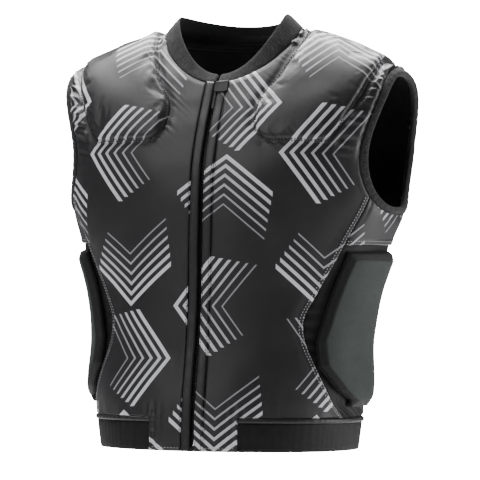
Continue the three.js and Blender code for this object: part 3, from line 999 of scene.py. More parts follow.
@dataclass(frozen=True)
class PrintedCloth:
    """Smooth stretch cloth with a print of nested chevrons, graded from bold to fine."""

    name: str = "printed cloth"
    ground: Screen = (29, 28, 31)
    ink: Screen = (218, 216, 221)
    roughness: float = 0.4
    cell: float = 0.122
    slope: float = 0.8
    lines: int = 6
    pitch: float = 0.0118
    bold: float = 0.0058
    fine: float = 0.0022
    reach: float = 0.0575
    start: float = -0.0575
    shorten: float = 0.0032
    slip: float = 0.0017
    fade: float = 0.6
    soft: float = 0.0002
    weave: float = 0.0009
    printed: bool = True

    def ink_mask(self, u: Term, v: Term) -> Term:
        """How much ink each place takes.

        Args:
            u: length across the cloth.
            v: length up the cloth.

        Returns:
            0 for bare cloth up to 1 for the boldest line.
        """
        across = u / self.cell + 0.27
        column = across.floor()
        up = v / self.cell + (column / 2).fraction() + 0.1
        row = up.floor()
        x = (across - column - 0.5) * self.cell
        y = (up - row - 0.5) * self.cell
        facing = ((row + column * 2) / 4).fraction() * 4
        sideways = (facing / 2).fraction() * 2
        over = 1 - (facing / 2 + 0.01).floor() * 2
        along = x + (y - x) * sideways
        out = (y + (x - y) * sideways) * over
        height = out - abs(along) * self.slope
        total = None
        for i in range(self.lines):
            share = i / (self.lines - 1)
            width = self.bold + (self.fine - self.bold) * share
            tone = 1 - self.fade * share
            off = abs(height - (self.start + i * self.pitch))
            line = 1 - off.past(width / 2 - self.soft, width / 2 + self.soft)
            end = self.reach - i * self.shorten
            inside = 1 - abs(along - self.slip * i).past(end - self.soft, end + self.soft)
            shown = line * inside * tone
            total = shown if total is None else total + shown
        return total

    def build(self) -> bpy.types.Material:
        """Makes the material."""
        tree = Tree(self.name)
        place = tree.coordinates()
        u, v, _ = tree.split(place)
        worn = tree.noise(place, 9, 3)
        colour = tree.blend(worn, srgb(self.ground, 0.9), srgb(self.ground, 1.07))
        roughness = self.roughness + (worn - 0.5) * 0.1
        if self.printed:
            ink = self.ink_mask(u, v)
            fibre = tree.noise(place, 900, 1)
            colour = tree.blend(ink * (0.85 + fibre * 0.3), colour, srgb(self.ink))
            roughness = roughness + ink * 0.06
        tree.shade(
            Base_Color=colour, Roughness=roughness,
            Sheen_Weight=0.04, Sheen_Roughness=0.35, Specular_IOR_Level=0.52,
        )
        weave = tree.waves(u, self.weave) * tree.waves(v, self.weave)
        tree.bump(weave + tree.noise(place, 1400, 1) * 1.5, 0.00012, 0.25)
        tree.bump(tree.noise(place, 120, 3), 0.0008, 0.12)
        return tree.material


@dataclass(frozen=True)
class SpeckledKnit:
    """Fuzzy ribbed knit with light and dark fibres."""

    name: str
    dark: Screen = (8, 8, 9)
    light: Screen = (64, 63, 66)
    rib: float = 0.0022
    roughness: float = 0.88
    inside: float = 1.0

    def build(self) -> bpy.types.Material:
        """Makes the material."""
        tree = Tree(self.name)
        place = tree.coordinates()
        u, v, _ = tree.split(place)
        speckle = tree.noise(place, 850, 4, (1, 0.6, 1))
        patches = tree.noise(place, 110, 2)
        rib = tree.waves(u, self.rib) * 0.5 + 0.5
        mask = (speckle * 1.3 + patches * 0.4 + rib * 0.05).past(0.8, 1.2)
        shown = mask * (1 - v.past(self.inside, self.inside + 0.001))
        colour = tree.blend(shown, srgb(self.dark), srgb(self.light))
        tree.shade(Base_Color=colour, Roughness=self.roughness, Sheen_Weight=0.08, Sheen_Roughness=0.5)
        tree.bump(rib, 0.0003, 0.25)
        tree.bump(speckle, 0.0009, 0.8)
        return tree.material


@dataclass(frozen=True)
class PlainCloth:
    """Plain cloth: stretch jersey, lining mesh, elastic or tape."""

    name: str
    colour: Screen
    roughness: float = 0.7
    rib: float = 0.0
    pitch: float = 0.0011
    relief: float = 0.35
    sheen: float = 0.02
    gloss: float = 0.28
    spread: float = 0.12

    def build(self) -> bpy.types.Material:
        """Makes the material."""
        tree = Tree(self.name)
        place = tree.coordinates()
        u, v, _ = tree.split(place)
        cloud = tree.noise(place, 14, 3)
        low, high = srgb(self.colour, 1 - self.spread), srgb(self.colour, 1 + self.spread)
        tree.shade(
            Base_Color=tree.blend(cloud, low, high),
            Roughness=self.roughness + (cloud - 0.5) * 0.12,
            Sheen_Weight=self.sheen, Sheen_Roughness=0.35, Specular_IOR_Level=self.gloss,
        )
        weave = tree.waves(u, self.pitch) * tree.waves(v, self.pitch)
        tree.bump(weave + tree.noise(place, 1500, 1), 0.00015, self.relief)
        if self.rib:
            tree.bump(tree.waves(u, self.rib), 0.0003, 0.2)
        return tree.material


@dataclass(frozen=True)
class PadCloth:
    """Dotted pad cloth, with its bevelled edges painted dark as shade."""

    name: str = "pad cloth"
    face: Screen = (33, 40, 38)
    # painted shade: the dark colour painted on the bevelled edges of the pad
    rim: Screen = (5, 6, 6)
    dot: float = 0.0026

    def build(self) -> bpy.types.Material:
        """Makes the material."""
        tree = Tree(self.name)
        place = tree.coordinates()
        u, v, _ = tree.split(place)
        # painted shade mask: 1 on the pad's face, 0 on its bevel, which takes the painted shade colour
        face_vs_bevel_shade = Term(tree, tree.node("ShaderNodeAttribute", {"attribute_name": "face_vs_bevel_shade"}).outputs["Fac"])
        diagonal = self.dot * 1.414
        dots = tree.waves(u + v, diagonal) * tree.waves(u - v, diagonal)
        cloud = tree.noise(place, 30, 3)
        face = tree.blend(
            dots.past(0.1, 0.9) * 0.5 + cloud * 0.5,
            srgb(self.face, 1.25), srgb(self.face, 0.6),
        )
        tree.shade(
            Base_Color=tree.blend(face_vs_bevel_shade, srgb(self.rim), face),
            Roughness=0.6 + cloud * 0.12, Sheen_Weight=0.03, Sheen_Roughness=0.4, Specular_IOR_Level=0.4,
        )
        tree.bump(1 - dots.past(0.1, 0.9), 0.0005, 0.5)
        tree.bump(tree.noise(place, 900, 2), 0.0003, 0.3)
        return tree.material


@dataclass(frozen=True)
class Plastic:
    """Moulded plastic of the zip."""

    name: str
    colour: Screen
    roughness: float = 0.38

    def build(self) -> bpy.types.Material:
        """Makes the material."""
        tree = Tree(self.name)
        place = tree.coordinates("Object")
        grain = tree.noise(place, 700, 2)
        tree.shade(
            Base_Color=tree.blend(grain, srgb(self.colour, 0.8), srgb(self.colour)),
            Roughness=self.roughness + (grain - 0.5) * 0.15,
        )
        tree.bump(grain, 0.00015, 0.3)
        return tree.material


@dataclass(frozen=True)
class Thread:
    """Spun sewing thread."""

    name: str
    colour: Screen

    def build(self) -> bpy.types.Material:
        """Makes the material."""
        tree = Tree(self.name)
        place = tree.coordinates("Object")
        twist = tree.noise(place, 1800, 1)
        tree.shade(
            Base_Color=tree.blend(twist, srgb(self.colour, 0.75), srgb(self.colour)),
            Roughness=0.55 + twist * 0.15, Sheen_Weight=0.2,
        )
        tree.bump(twist, 0.0002, 0.4)
        return tree.material


class Finishes:
    """Every finish of the vest, made once."""

    def __init__(self) -> None:
        """Makes the materials."""
        self.printed = PrintedCloth().build()
        self.plain = PrintedCloth(name="plain facing cloth", printed=False, ground=(24, 23, 26)).build()
        self.stretch = PlainCloth("black stretch cloth", (5, 5, 6), roughness=0.5).build()
        self.elastic = PlainCloth("black elastic", (4, 4, 5), roughness=0.52, rib=0.0019).build()
        self.lining = PlainCloth("black lining mesh", (8, 8, 9), roughness=0.8, pitch=0.0026).build()
        self.tape = PlainCloth("zip tape", (9, 9, 10), roughness=0.75, rib=0.0012).build()
        self.binding = SpeckledKnit("binding knit").build()
        self.neck = SpeckledKnit("neck knit", light=(44, 43, 46), rib=0.0026, inside=0.0215).build()
        self.pad = PadCloth().build()
        self.plastic = Plastic("black zip plastic", (10, 10, 11)).build()
        self.dark_thread = Thread("dark thread", (9, 9, 10)).build()
        self.light_thread = Thread("light thread", (205, 203, 207)).build()


FINISHES = Finishes()


def full_pad_rows(steps: int) -> tuple[Array, Array, Array, Array]:
    """The neck side and arm side of a shoulder pad, from its front foot over to its back foot."""
    front = np.array(SHOULDER_PAD)
    back = front[-2::-1].copy()
    back[:, [0, 2]] = 180 - back[:, [0, 2]]
    table = np.vstack([front, back])
    stations = np.arange(len(table))
    x = np.linspace(0, len(table) - 1, steps)
    return tuple(hermite(x, stations, table[:, i]) for i in range(4))


@dataclass
class Stitch:
    """A line of stitches that lies on a piece."""

    length: float = 0.0025
    pitch: float = 0.0038
    width: float = 0.0014
    sink: float = 0.0001


class Sewing:
    """Collects lines of stitches and makes one mesh of each thread."""

    def __init__(self, name: str, material: bpy.types.Material, slot: str) -> None:
        """Starts with no stitches."""
        self.name = name
        self.material = material
        self.slot = slot
        self.laid: list[tuple[Vector, Vector, Vector, Stitch]] = []

    def line(self, host: bpy.types.Object, path: Array, kind: Stitch = Stitch()) -> None:
        """Lays stitches along a path, on the surface of a piece.

        Args:
            host: the piece that carries them.
            path: points close to that surface.
            kind: the stitch.
        """
        tree = surface_of(host)
        steps = np.linalg.norm(np.diff(path, axis=0), axis=1)
        run = np.concatenate([[0], np.cumsum(steps)])
        count = max(int(run[-1] / kind.pitch), 1)
        for i in range(count):
            middle = (i + 0.5) * run[-1] / count
            ends = [
                Vector([np.interp(middle + side * kind.length / 2, run, path[:, k]) for k in range(3)])
                for side in (-1, 1)
            ]
            found = [tree.find_nearest(end) for end in ends]
            if any(f[0] is None or (f[0] - end).length > 0.012 for f, end in zip(found, ends)):
                continue
            normal = (found[0][1] + found[1][1]).normalized()
            ahead = found[1][0] - found[0][0]
            if ahead.length < kind.length * 0.3:
                continue
            spot = (found[0][0] + found[1][0]) / 2 - normal * kind.sink
            self.laid.append((spot, ahead.normalized(), normal, kind))

    def build(self) -> bpy.types.Object:
        """Makes the mesh of all the stitches."""
        seed = bmesh.new()
        bmesh.ops.create_uvsphere(seed, u_segments=6, v_segments=3, radius=1)
        axes = []
        for _, ahead, normal, kind in self.laid:
            half = kind.width / 2
            axes.append([normal.cross(ahead) * half, normal * half, ahead * (kind.length / 2)])
        piece = copies(self.name, seed, np.array([stitch[0] for stitch in self.laid]), np.array(axes))
        shade_smooth(piece)
        return declare(piece, self.material, self.slot)


_SURFACES: dict[str, BVHTree] = {}


def surface_of(piece: bpy.types.Object) -> BVHTree:
    """The outer surface of a piece, for finding places on it."""
    if piece.name not in _SURFACES:
        shape = bmesh.new()
        shape.from_mesh(piece.data)
        _SURFACES[piece.name] = BVHTree.FromBMesh(shape)
        shape.free()
    return _SURFACES[piece.name]


@dataclass
class Panels:
    """The printed panels: two fronts with their tabs, the back and the gussets under the arms."""

    rows: SeamRows = field(default_factory=SeamRows)
    tab_rows: int = 20
    tab_columns: int = 22
    side_columns: int = 76
    back_columns: int = 170
    gusset_columns: int = 80
    gusset_rows: int = 44
    border: float = 0.0066

    def pad_distance(self, uv: Array, pattern: Pattern) -> Array:
        """Distance across the cloth from the outline of the shoulder pad."""
        neck_angle, neck_row, arm_angle, arm_row = full_pad_rows(200)
        half = neck_angle <= 92 if pattern.front else neck_angle >= 88
        end = 0 if pattern.front else -1
        share = np.linspace(0, 1, 40)
        foot = (
            neck_angle[end] + (arm_angle[end] - neck_angle[end]) * share,
            neck_row[end] + (arm_row[end] - neck_row[end]) * share,
        )
        outline = np.concatenate([
            pattern.uv(neck_angle[half], neck_row[half]), pattern.uv(arm_angle[half], arm_row[half]),
            pattern.uv(*foot),
        ])
        outline[:, 0] = np.abs(outline[:, 0])
        flat = np.column_stack([np.abs(uv[..., 0]).ravel(), uv[..., 1].ravel()])
        distance = np.full(len(flat), np.inf)
        for spot in outline:
            distance = np.minimum(distance, np.hypot(*(flat - spot).T))
        return distance.reshape(uv.shape[:2])

    def relief(self, patch: Patch, seed: int) -> Array:
        """The soft unevenness that every printed panel has."""
        return (
            Ripple(0.15, 1.1 * MM, seed).at(patch.points)
            + Ripple(0.055, 0.34 * MM, seed + 1).at(patch.points)
        )

    def puff(self, patch: Patch, edge: Array, pad: Array) -> Array:
        """The cloth that swells and wrinkles between a shoulder pad and the armhole.

        Args:
            patch: the panel.
            edge: distance from its armhole edge.
            pad: distance from the pad's outline.

        Returns:
            Heights.
        """
        between = smoothstep(6.8, 7.3, patch.row) * smoothstep(0.036, 0.028, edge)
        swell = between * smoothstep(0.001, 0.008, pad) * smoothstep(0.001, 0.007, edge)
        run = patch.points[..., 2] * 2 * np.pi / 0.0135 + patch.points[..., 0] * 90
        wrinkles = np.sin(run + 1.2 * np.sin(run * 0.37)) + 0.4 * np.sin(run * 2.3 + 1)
        return swell * (2.4 * MM + 1.5 * MM * wrinkles)

    def sewn(self, patch: Patch, edge: Array, held: Array, pattern: Pattern, seed: int) -> Array:
        """The relief of a front or the back, with what its seams and its shoulder pads do to it.

        Args:
            patch: the panel.
            edge: distance from its side seam and armhole.
            held: where that edge is sewn to the side, from 0 up to 1.
            pattern: the half that it is cut from.
            seed: seed of its unevenness.

        Returns:
            Heights.
        """
        run = patch.from_foot
        armside = smoothstep(6.2, 6.9, patch.row)
        border = smoothstep(self.border + 0.0012, self.border - 0.0006, edge)
        height = self.relief(patch, seed) * smoothstep(0, 0.02, edge)
        height += border * held * 0.5 * MM - smoothstep(0.0016, 0, edge) * 1.1 * MM
        height += SIDE_SEAM.at(edge - self.border / 2, run) * held
        height -= armside * smoothstep(0.012, 0, edge) * 0.9 * MM
        height += armside * ARMHOLE_SEAM.at(edge, run)
        pad = self.pad_distance(patch.uv, pattern)
        height -= 1.9 * MM * np.exp(-((pad / 0.005) ** 2))
        height += PAD_SEAM.at(pad, patch.slant())
        height += self.puff(patch, edge, pad)
        return height - smoothstep(0.006, 0, patch.from_top) * 0.8 * MM

    def front(self, side: Side) -> bpy.types.Object:
        """A front panel with its tab down to the hem."""
        rows = self.rows
        tab_row = np.linspace(0, FOOT_ROW, self.tab_rows + 1)[:-1]
        row = np.concatenate([tab_row, rows.row])
        front_edge = np.concatenate([np.full(self.tab_rows, rows.front[0]), rows.front])
        start = FORM.angle_at(FACING_EDGE + GAP, row)
        foot_start = FORM.angle_at(FACING_EDGE + GAP, FOOT_ROW)
        foot_tab = FORM.angle_at(TAB_WIDTH, FOOT_ROW)
        tab_share = (foot_tab - foot_start) / (rows.front[0] - foot_start)
        tab_end = start + (front_edge - start) * tab_share
        tab_end[: self.tab_rows] = FORM.angle_at(TAB_WIDTH, tab_row)
        angle = np.concatenate([
            fan(start, tab_end, self.tab_columns), fan(tab_end, front_edge, self.side_columns)[:, 1:],
        ], axis=1)
        patch = Patch(angle * side.value, row[:, None], FRONT_PATTERN.uv)
        keep = np.ones((len(row) - 1, angle.shape[1] - 1), bool)
        keep[: self.tab_rows, self.tab_columns:] = False
        held = smoothstep(7, 6, patch.row)
        height = self.sewn(patch, patch.from_end, held, FRONT_PATTERN, 11 if side is Side.LEFT else 31)
        height -= smoothstep(0.0022, 0, patch.from_start) * 0.7 * MM
        low = smoothstep(1.75, 0.95, patch.row)
        tab_edge = np.abs(patch.points[..., 0]) - TAB_WIDTH
        gather = np.exp(-((tab_edge / 0.010) ** 2)) * low
        height += gather * 2 * MM * np.sin(tab_edge / 0.0052 * np.pi + 0.6) + gather * 0.8 * MM
        lip = np.exp(-(((tab_edge + 0.0028) / 0.0026) ** 2)) * smoothstep(1.5, 1.1, patch.row)
        height += lip * 2.2 * MM * (0.8 + 0.35 * np.sin(patch.row * 19))
        waves = np.sin(np.abs(patch.uv[..., 0]) * 2 * np.pi / 0.031 + patch.uv[..., 1] * 14)
        hem = patch.from_foot
        height += waves * 0.55 * MM * smoothstep(1.9, 1.05, patch.row) * smoothstep(0, 0.012, hem)
        height -= smoothstep(0.0022, 0, hem) * 0.8 * MM
        height = np.maximum(height, -LINING_CLEAR)
        name = f"front_panel_{side.word}_cloth"
        piece = sheet_piece(name, patch, height, PANEL_CLOTH, keep)
        return declare(piece, FINISHES.printed, "printed_cloth", f"front_panel_{side.word}")

    def back(self) -> bpy.types.Object:
        """The back panel."""
        rows = self.rows
        angle = fan(rows.back, 360 - rows.back, self.back_columns)
        patch = Patch(angle, rows.row[:, None], BACK_PATTERN.uv)
        edge = np.minimum(patch.from_start, patch.from_end)
        height = self.sewn(patch, edge, smoothstep(6.9, 6.2, patch.row), BACK_PATTERN, 51)
        waves = np.sin(patch.uv[..., 0] * 2 * np.pi / 0.027 + np.sin(patch.uv[..., 0] * 40))
        height += waves * 0.6 * MM * smoothstep(1.8, 1.05, patch.row)
        height = np.maximum(height, -LINING_CLEAR)
        piece = sheet_piece("back_panel_cloth", patch, height, PANEL_CLOTH)
        return declare(piece, FINISHES.printed, "printed_cloth", "back_panel")

    def gusset(self, side: Side) -> bpy.types.Object:
        """The printed piece under an arm."""
        angle, row = under_arm(GUSSET_ROW, self.gusset_rows, self.gusset_columns)
        patch = Patch(angle * side.value, row)
        edge = np.minimum(patch.from_start, patch.from_end)
        height = self.relief(patch, 71) * smoothstep(0, 0.012, edge) - 0.3 * MM
        height += 0.5 * MM * smoothstep(0.0075, 0.0062, patch.from_foot)
        height -= 1.0 * MM * smoothstep(0.0016, 0, patch.from_foot)
        height -= 0.9 * MM * smoothstep(0.003, 0, edge)
        height += GUSSET_TOP.at(patch.from_top, patch.from_start)
        height += GUSSET_HEM.at(patch.from_foot, patch.from_start)
        height -= 0.9 * MM * smoothstep(0.010, 0, patch.from_top)
        piece = sheet_piece(f"underarm_gusset_{side.word}_cloth", patch, height, GUSSET_CLOTH)
        return declare(piece, FINISHES.printed, "printed_cloth", f"underarm_gusset_{side.word}")


def under_arm(foot: float, rows: int, columns: int) -> tuple[Array, Array]:
    """Angles and rows of a side piece that reaches the armhole.

    Args:
        foot: the form row that it starts at.
        rows: cells up the piece.
        columns: cells round the piece.

    Returns:
        The grid's angles and rows, for the wearer's left.
    """
    meet_angle, meet_row = ARMHOLE.edge(MEETING_STOP, PANEL_GROWTH)
    level = np.linspace(foot, meet_row, rows + 1)
    front, back = side_seams(level)
    front = front + FORM.angle_for(GAP, front, level)
    back = back - FORM.angle_for(GAP, back, level)
    share = np.linspace(0, 1, columns + 1)
    edge_angle, edge_row = ARMHOLE.edge(MEETING_STOP - (180 + 2 * MEETING_STOP) * share, PANEL_GROWTH)
    bend = np.clip((level - GUSSET_ROW) / (meet_row - GUSSET_ROW), 0, None)[:, None]
    top_share = (edge_angle - meet_angle) / (180 - 2 * meet_angle)
    across = share + (top_share - share) * bend
    angle = front[:, None] + (back - front)[:, None] * across
    row = level[:, None] - (meet_row - edge_row) * bend
    return angle, row


@dataclass
class SidePanels:
    """The black stretch sides that carry the rib pads."""

    columns: int = 100
    rows: int = 120

    def build(self, side: Side) -> bpy.types.Object:
        """One side."""
        tuck = float(FORM.rows_for(GAP + 0.8 * MM, 90, FOOT_ROW))
        level = np.linspace(FOOT_ROW - tuck, GUSSET_ROW + 0.12, self.rows + 1)
        front, back = side_seams(np.maximum(level, FOOT_ROW))
        front = front - FORM.angle_for(1.5 * MM, front, level)
        back = back + FORM.angle_for(1.5 * MM, back, level)
        patch = Patch(fan(front, back, self.columns) * side.value, level[:, None])
        edge = np.minimum(patch.from_start, patch.from_end)
        height = -1.5 * MM + Ripple(0.05, 0.4 * MM, 81).at(patch.points)
        height -= 0.8 * MM * smoothstep(0.004, 0, edge)
        low = smoothstep(1.95, 1.2, patch.row) * smoothstep(0, 0.006, patch.from_foot)
        fold = patch.from_start + 0.006 * np.sin(patch.row * 5)
        folds = 1.5 * np.sin(fold * 2 * np.pi / 0.015) + 0.7 * np.sin(fold * 2 * np.pi / 0.0087)
        height += low * folds * MM
        crossing = patch.from_foot * 0.9 + patch.from_start * 0.25
        middle = np.exp(-(((patch.row - 3.2) / 0.7) ** 2)) * np.exp(-edge / 0.014)
        height += middle * 0.9 * MM * np.sin(crossing * 2 * np.pi / 0.013)
        height -= smoothstep(4.85, 5.05, patch.row) * 1.2 * MM
        piece = sheet_piece(f"side_panel_{side.word}_cloth", patch, height, SIDE_CLOTH)
        return declare(piece, FINISHES.stretch, "stretch_cloth", f"side_panel_{side.word}")


@dataclass
class ShoulderPads:
    """Pads quilted under the printed cloth, from the chest over the shoulder to the back."""

    columns: int = 72
    rows: int = 170
    flange: float = 0.0034
    rise: float = 0.0046

    def build(self, side: Side) -> bpy.types.Object:
        """One pad."""
        neck_angle, neck_row, arm_angle, arm_row = full_pad_rows(self.rows + 1)
        angle, row = fan(neck_angle, arm_angle, self.columns), fan(neck_row, arm_row, self.columns)
        patch = Patch(angle * side.value, row, over_shoulder)
        edge = patch.from_rim(0.0035)
        lift = np.clip((edge - self.flange) / 0.0075, 0, 1)
        crown = np.sqrt(np.clip(1 - (1 - lift) ** 2.2, 0, 1))
        height = 0.5 * MM + self.rise * crown
        height += Ripple(0.06, 0.3 * MM, 91).at(patch.points) * crown
        height += PAD_FLANGE.at(edge - self.flange, patch.slant())
        height -= smoothstep(0.0012, 0, edge) * 1.0 * MM
        height -= np.exp(-(((edge - self.flange) / 0.0011) ** 2)) * 0.5 * MM
        sewn = smoothstep(self.flange + 0.0012, self.flange, edge)
        name = f"shoulder_pad_{side.word}_cloth"
        piece = sheet_piece(name, patch, height, PAD_COVER, sewn=sewn, flat=False)
        return declare(piece, FINISHES.printed, "printed_cloth", f"shoulder_pad_{side.word}")


@dataclass
class RibPads:
    """Thick plates on the sides, with their edges cut to a slope."""

    columns: int = 90
    rows: int = 130
    height: float = 0.0102
    rim: float = 0.0042
    bevel: float = 0.0095

    def build(self, side: Side) -> bpy.types.Object:
        """One pad."""
        table = np.array(RIB_PAD, float)
        slope = float(FORM.rows_for(self.bevel, 90, table[0, 0]))
        level = np.linspace(table[0, 0] - slope, table[-1, 0] + slope, self.rows + 1)
        inside = np.clip(level, table[0, 0], table[-1, 0])
        front = np.interp(inside, table[:, 0], table[:, 1])
        back = np.interp(inside, table[:, 0], table[:, 2])
        out = FORM.angle_for(self.bevel, 90, level)
        angle = fan(front - out, back + out, self.columns)
        patch = Patch(angle * side.value, level[:, None])
        edge = patch.from_rim(0.0016)
        slopes = np.clip(edge / self.bevel, 0, 1)
        rounded = slopes - 0.5 * np.clip(slopes - 0.86, 0, 1) ** 2 / 0.14
        crown = np.clip(edge / 0.05, 0, 1)
        height = self.rim + (self.height - self.rim) * rounded + 1.0 * MM * crown * (2 - crown)
        height = height * smoothstep(-0.0004, 0.0009, edge) - 1.5 * MM * smoothstep(0.0008, 0, edge)
        height += Ripple(0.05, 0.18 * MM, 101).at(patch.points)
        piece = sheet_piece(f"rib_pad_{side.word}_cloth", patch, height, RIB_PAD_COVER, flat=False)
        # painted shade mask: 1 on the face, falling to 0 on the bevelled edge, where the pad cloth paints
        # dark shade
        face_vs_bevel_shade = piece.data.attributes.new("face_vs_bevel_shade", "FLOAT", "POINT")
        values = smoothstep(self.bevel * 0.8, self.bevel * 1.02, edge)
        face_vs_bevel_shade.data.foreach_set("value", values.ravel().astype(np.float32))
        return declare(piece, FINISHES.pad, "pad_cloth", f"rib_pad_{side.word}")


@dataclass
class Bindings:
    """Speckled knit bound round the edges of the armholes."""

    stations: int = 260
    points: int = 24

    def build(self, side: Side) -> bpy.types.Object:
        """One binding."""
        stop = np.linspace(0, 360, self.stations + 1)
        across, through = rounded(self.points, 0.55, 0.6)
        out, thick = 0.53 + 0.53 * across, 0.5 + 0.5 * through
        thick = thick - 0.1 * smoothstep(0.6, 1.06, out) * thick - 0.12 * smoothstep(0.3, 0, out) * thick
        depth = PANEL_WALL + LINING_EASE + LINING_WALL
        edges = [ARMHOLE.edge(stop, BINDING_WIDTH * share) for share in out]
        angle, row = np.array(edges).transpose(1, 2, 0)
        waves = 0.22 * MM * np.sin(np.radians(stop) * 46 + 2 * np.sin(np.radians(stop) * 7))
        height = -depth + (depth + 1.2 * MM) * thick[None, :] + waves[:, None] * thick[None, :]
        points = FORM.lifted(angle * side.value, row, height)
        points[-1], points[:, -1] = points[0], points[:, 0]
        uv = strip_cloth(np.linspace(0, 0.72, len(stop)), np.linspace(0, 0.036, len(out)))
        piece = band_piece(f"armhole_binding_{side.word}_knit", points, uv, closed=True)
        return declare(piece, FINISHES.binding, "binding_knit", f"armhole_binding_{side.word}")


@dataclass
class NeckBand:
    """The ribbed knit collar, folded at its top, with a rounded end at the zip."""

    stations: int = 300
    points: int = 26
    height: float = 0.017
    wall: float = 0.0032

    def point(self, angle: Array, share: Array | float) -> Array:
        """Points of the collar's outer face, at shares of its height."""
        lines = np.broadcast_to(FORM.section(NECK_ROW), np.shape(angle) + (10,)).copy()
        up = share * self.height
        lines[..., 0] -= 0.94 * up
        lines[..., 2] += up
        lines[..., 8] += 0.25 * share
        lines[..., 3] += 0.53 * up
        lines[..., 4] += 0.6 * up
        lines[..., 5] -= 0.18 * up
        lines[..., 6] += 0.95 * up
        tilt = np.exp(-(((angle - 90) / 40) ** 2)) * share
        return Form.ring(angle, lines) + tilt[..., None] * np.array([-3.5, 0, 2]) * MM

    def outward(self, angle: Array, share: Array | float, step: float) -> Array:
        """Normals of the collar's outer face, measured over a step of its shares."""
        round_step = self.point(angle + 0.5, share) - self.point(angle - 0.5, share)
        up_step = self.point(angle, share + step) - self.point(angle, share - step)
        cross = np.cross(round_step, up_step)
        return cross / np.linalg.norm(cross, axis=-1, keepdims=True)

    def build(self) -> bpy.types.Object:
        """The band."""
        start = float(FORM.angle_at(SLOT_HALF / 2, NECK_ROW))
        along = np.linspace(0, 1, self.stations + 1)
        angle = start + (360 - 2 * start) * along
        across, through = rounded(self.points, 0.55, 0.62)
        share, depth = 0.5 + 0.53 * across, 0.5 - 0.5 * through
        angles = np.repeat(angle[:, None], len(share), axis=1)
        length = 0.42
        near_end = np.minimum(along, 1 - along) * length
        closing = np.sqrt(np.clip(1 - (1 - np.clip(near_end / 0.004, 0, 1)) ** 2, 0, 1)) * 0.75 + 0.25
        shares = 0.5 + (share[None, :] - 0.5) * (0.55 + 0.45 * closing)[:, None]
        depths = 0.5 + (depth[None, :] - 0.5) * closing[:, None]
        outer = self.point(angles, shares)
        normal = self.outward(angles, shares, 0.05)
        fuzz = Ripple(0.012, 0.12 * MM, 121).at(outer) + Ripple(0.05, 0.25 * MM, 122).at(outer)
        points = outer + normal * (fuzz - self.wall * depths)[..., None]
        points[:, -1] = points[:, 0]
        uv = strip_cloth(along * length, np.linspace(0, 0.042, len(share)))
        piece = band_piece("neck_band_knit", points, uv)
        return declare(piece, FINISHES.neck, "neck_knit", "neck_band")

    def tape(self) -> bpy.types.Object:
        """The tape that covers the neck seam inside."""
        start = float(FORM.angle_at(SLOT_HALF, NECK_ROW))
        angle = np.linspace(start, 360 - start, 181)[:, None] + np.zeros(9)
        share = np.linspace(0, 1, 9) + np.zeros_like(angle)
        inward = -self.outward(angle, 0.32, 0.08)
        top = self.point(angle, 0.32) + inward * (self.wall + 0.3 * MM)
        row = NECK_ROW - 0.3
        low = FORM.lifted(angle, row, -7.4 * MM)
        bulge = 3.4 * MM * np.sin(share * np.pi)
        points = top + (low - top) * share[..., None] + inward * bulge[..., None]
        piece = mesh_of("neck_tape", points, FORM.cloth(angle, row + share * 0.1))
        turn_out(piece, inward, points)
        shade_smooth(piece)
        thicken(piece, 0.8 * MM)
        return declare(piece, FINISHES.tape, "lining")


@dataclass
class Waist:
    """The elastic waistband and the piping over it, from one front tab round to the other."""

    stations: int = 460
    points: int = 22

    def band(
        self, name: str, low: float, high: float, outer: float, inner: float, square: float, gather: float,
    ) -> bpy.types.Object:
        """A band with a rounded section, between two rows and two heights.

        Args:
            name: the piece's name.
            low: its lowest row.
            high: its highest row.
            outer: height of its outer face.
            inner: height of its inner face.
            square: power of the section's curve, small for square corners.
            gather: height of the gathers on its face.

        Returns:
            The new object.
        """
        across, rise = rounded(self.points, square, square)
        out, up = 0.5 + 0.5 * across, 0.5 + 0.5 * rise
        rows = low + (high - low) * up
        start = FORM.angle_at(TAB_WIDTH + GAP, rows)
        angle = fan(start, 360 - start, self.stations).T
        run = np.linspace(0, 0.86, self.stations + 1)
        waves = np.sin(run * 2 * np.pi / 0.0105 + 1.5 * np.sin(run * 2 * np.pi / 0.061))
        swell = Ripple(0.09, gather * 0.8, 131).at(FORM.point(angle, rows))
        height = inner + (outer - inner + waves[:, None] * gather + swell) * out
        points = FORM.lifted(angle, rows, height)
        points[:, -1] = points[:, 0]
        round_section = up * (high - low) * FORM.waistband_height + (1 - out) * 0.004
        return band_piece(name, points, strip_cloth(run, round_section))

    def build(self) -> list[bpy.types.Object]:
        """The waistband and the piping."""
        half = float(FORM.rows_for(PIPING_WIDTH / 2, 90, BAND_TOP_ROW))
        top = float(BAND_TOP_ROW - FORM.rows_for(PIPING_WIDTH / 2 - 0.5 * MM, 90, BAND_TOP_ROW - 0.1))
        band = self.band("waistband_elastic", 0, top, 0.2 * MM, -3 * MM, 0.4, 0.09 * MM)
        piping = self.band(
            "hem_piping_cloth", BAND_TOP_ROW - half, BAND_TOP_ROW + half, 2 * MM, -5 * MM, 0.75, 0.2 * MM,
        )
        return [
            declare(band, FINISHES.elastic, "elastic", "waistband"),
            declare(piping, FINISHES.plain, "facing_cloth", "hem_piping"),
        ]


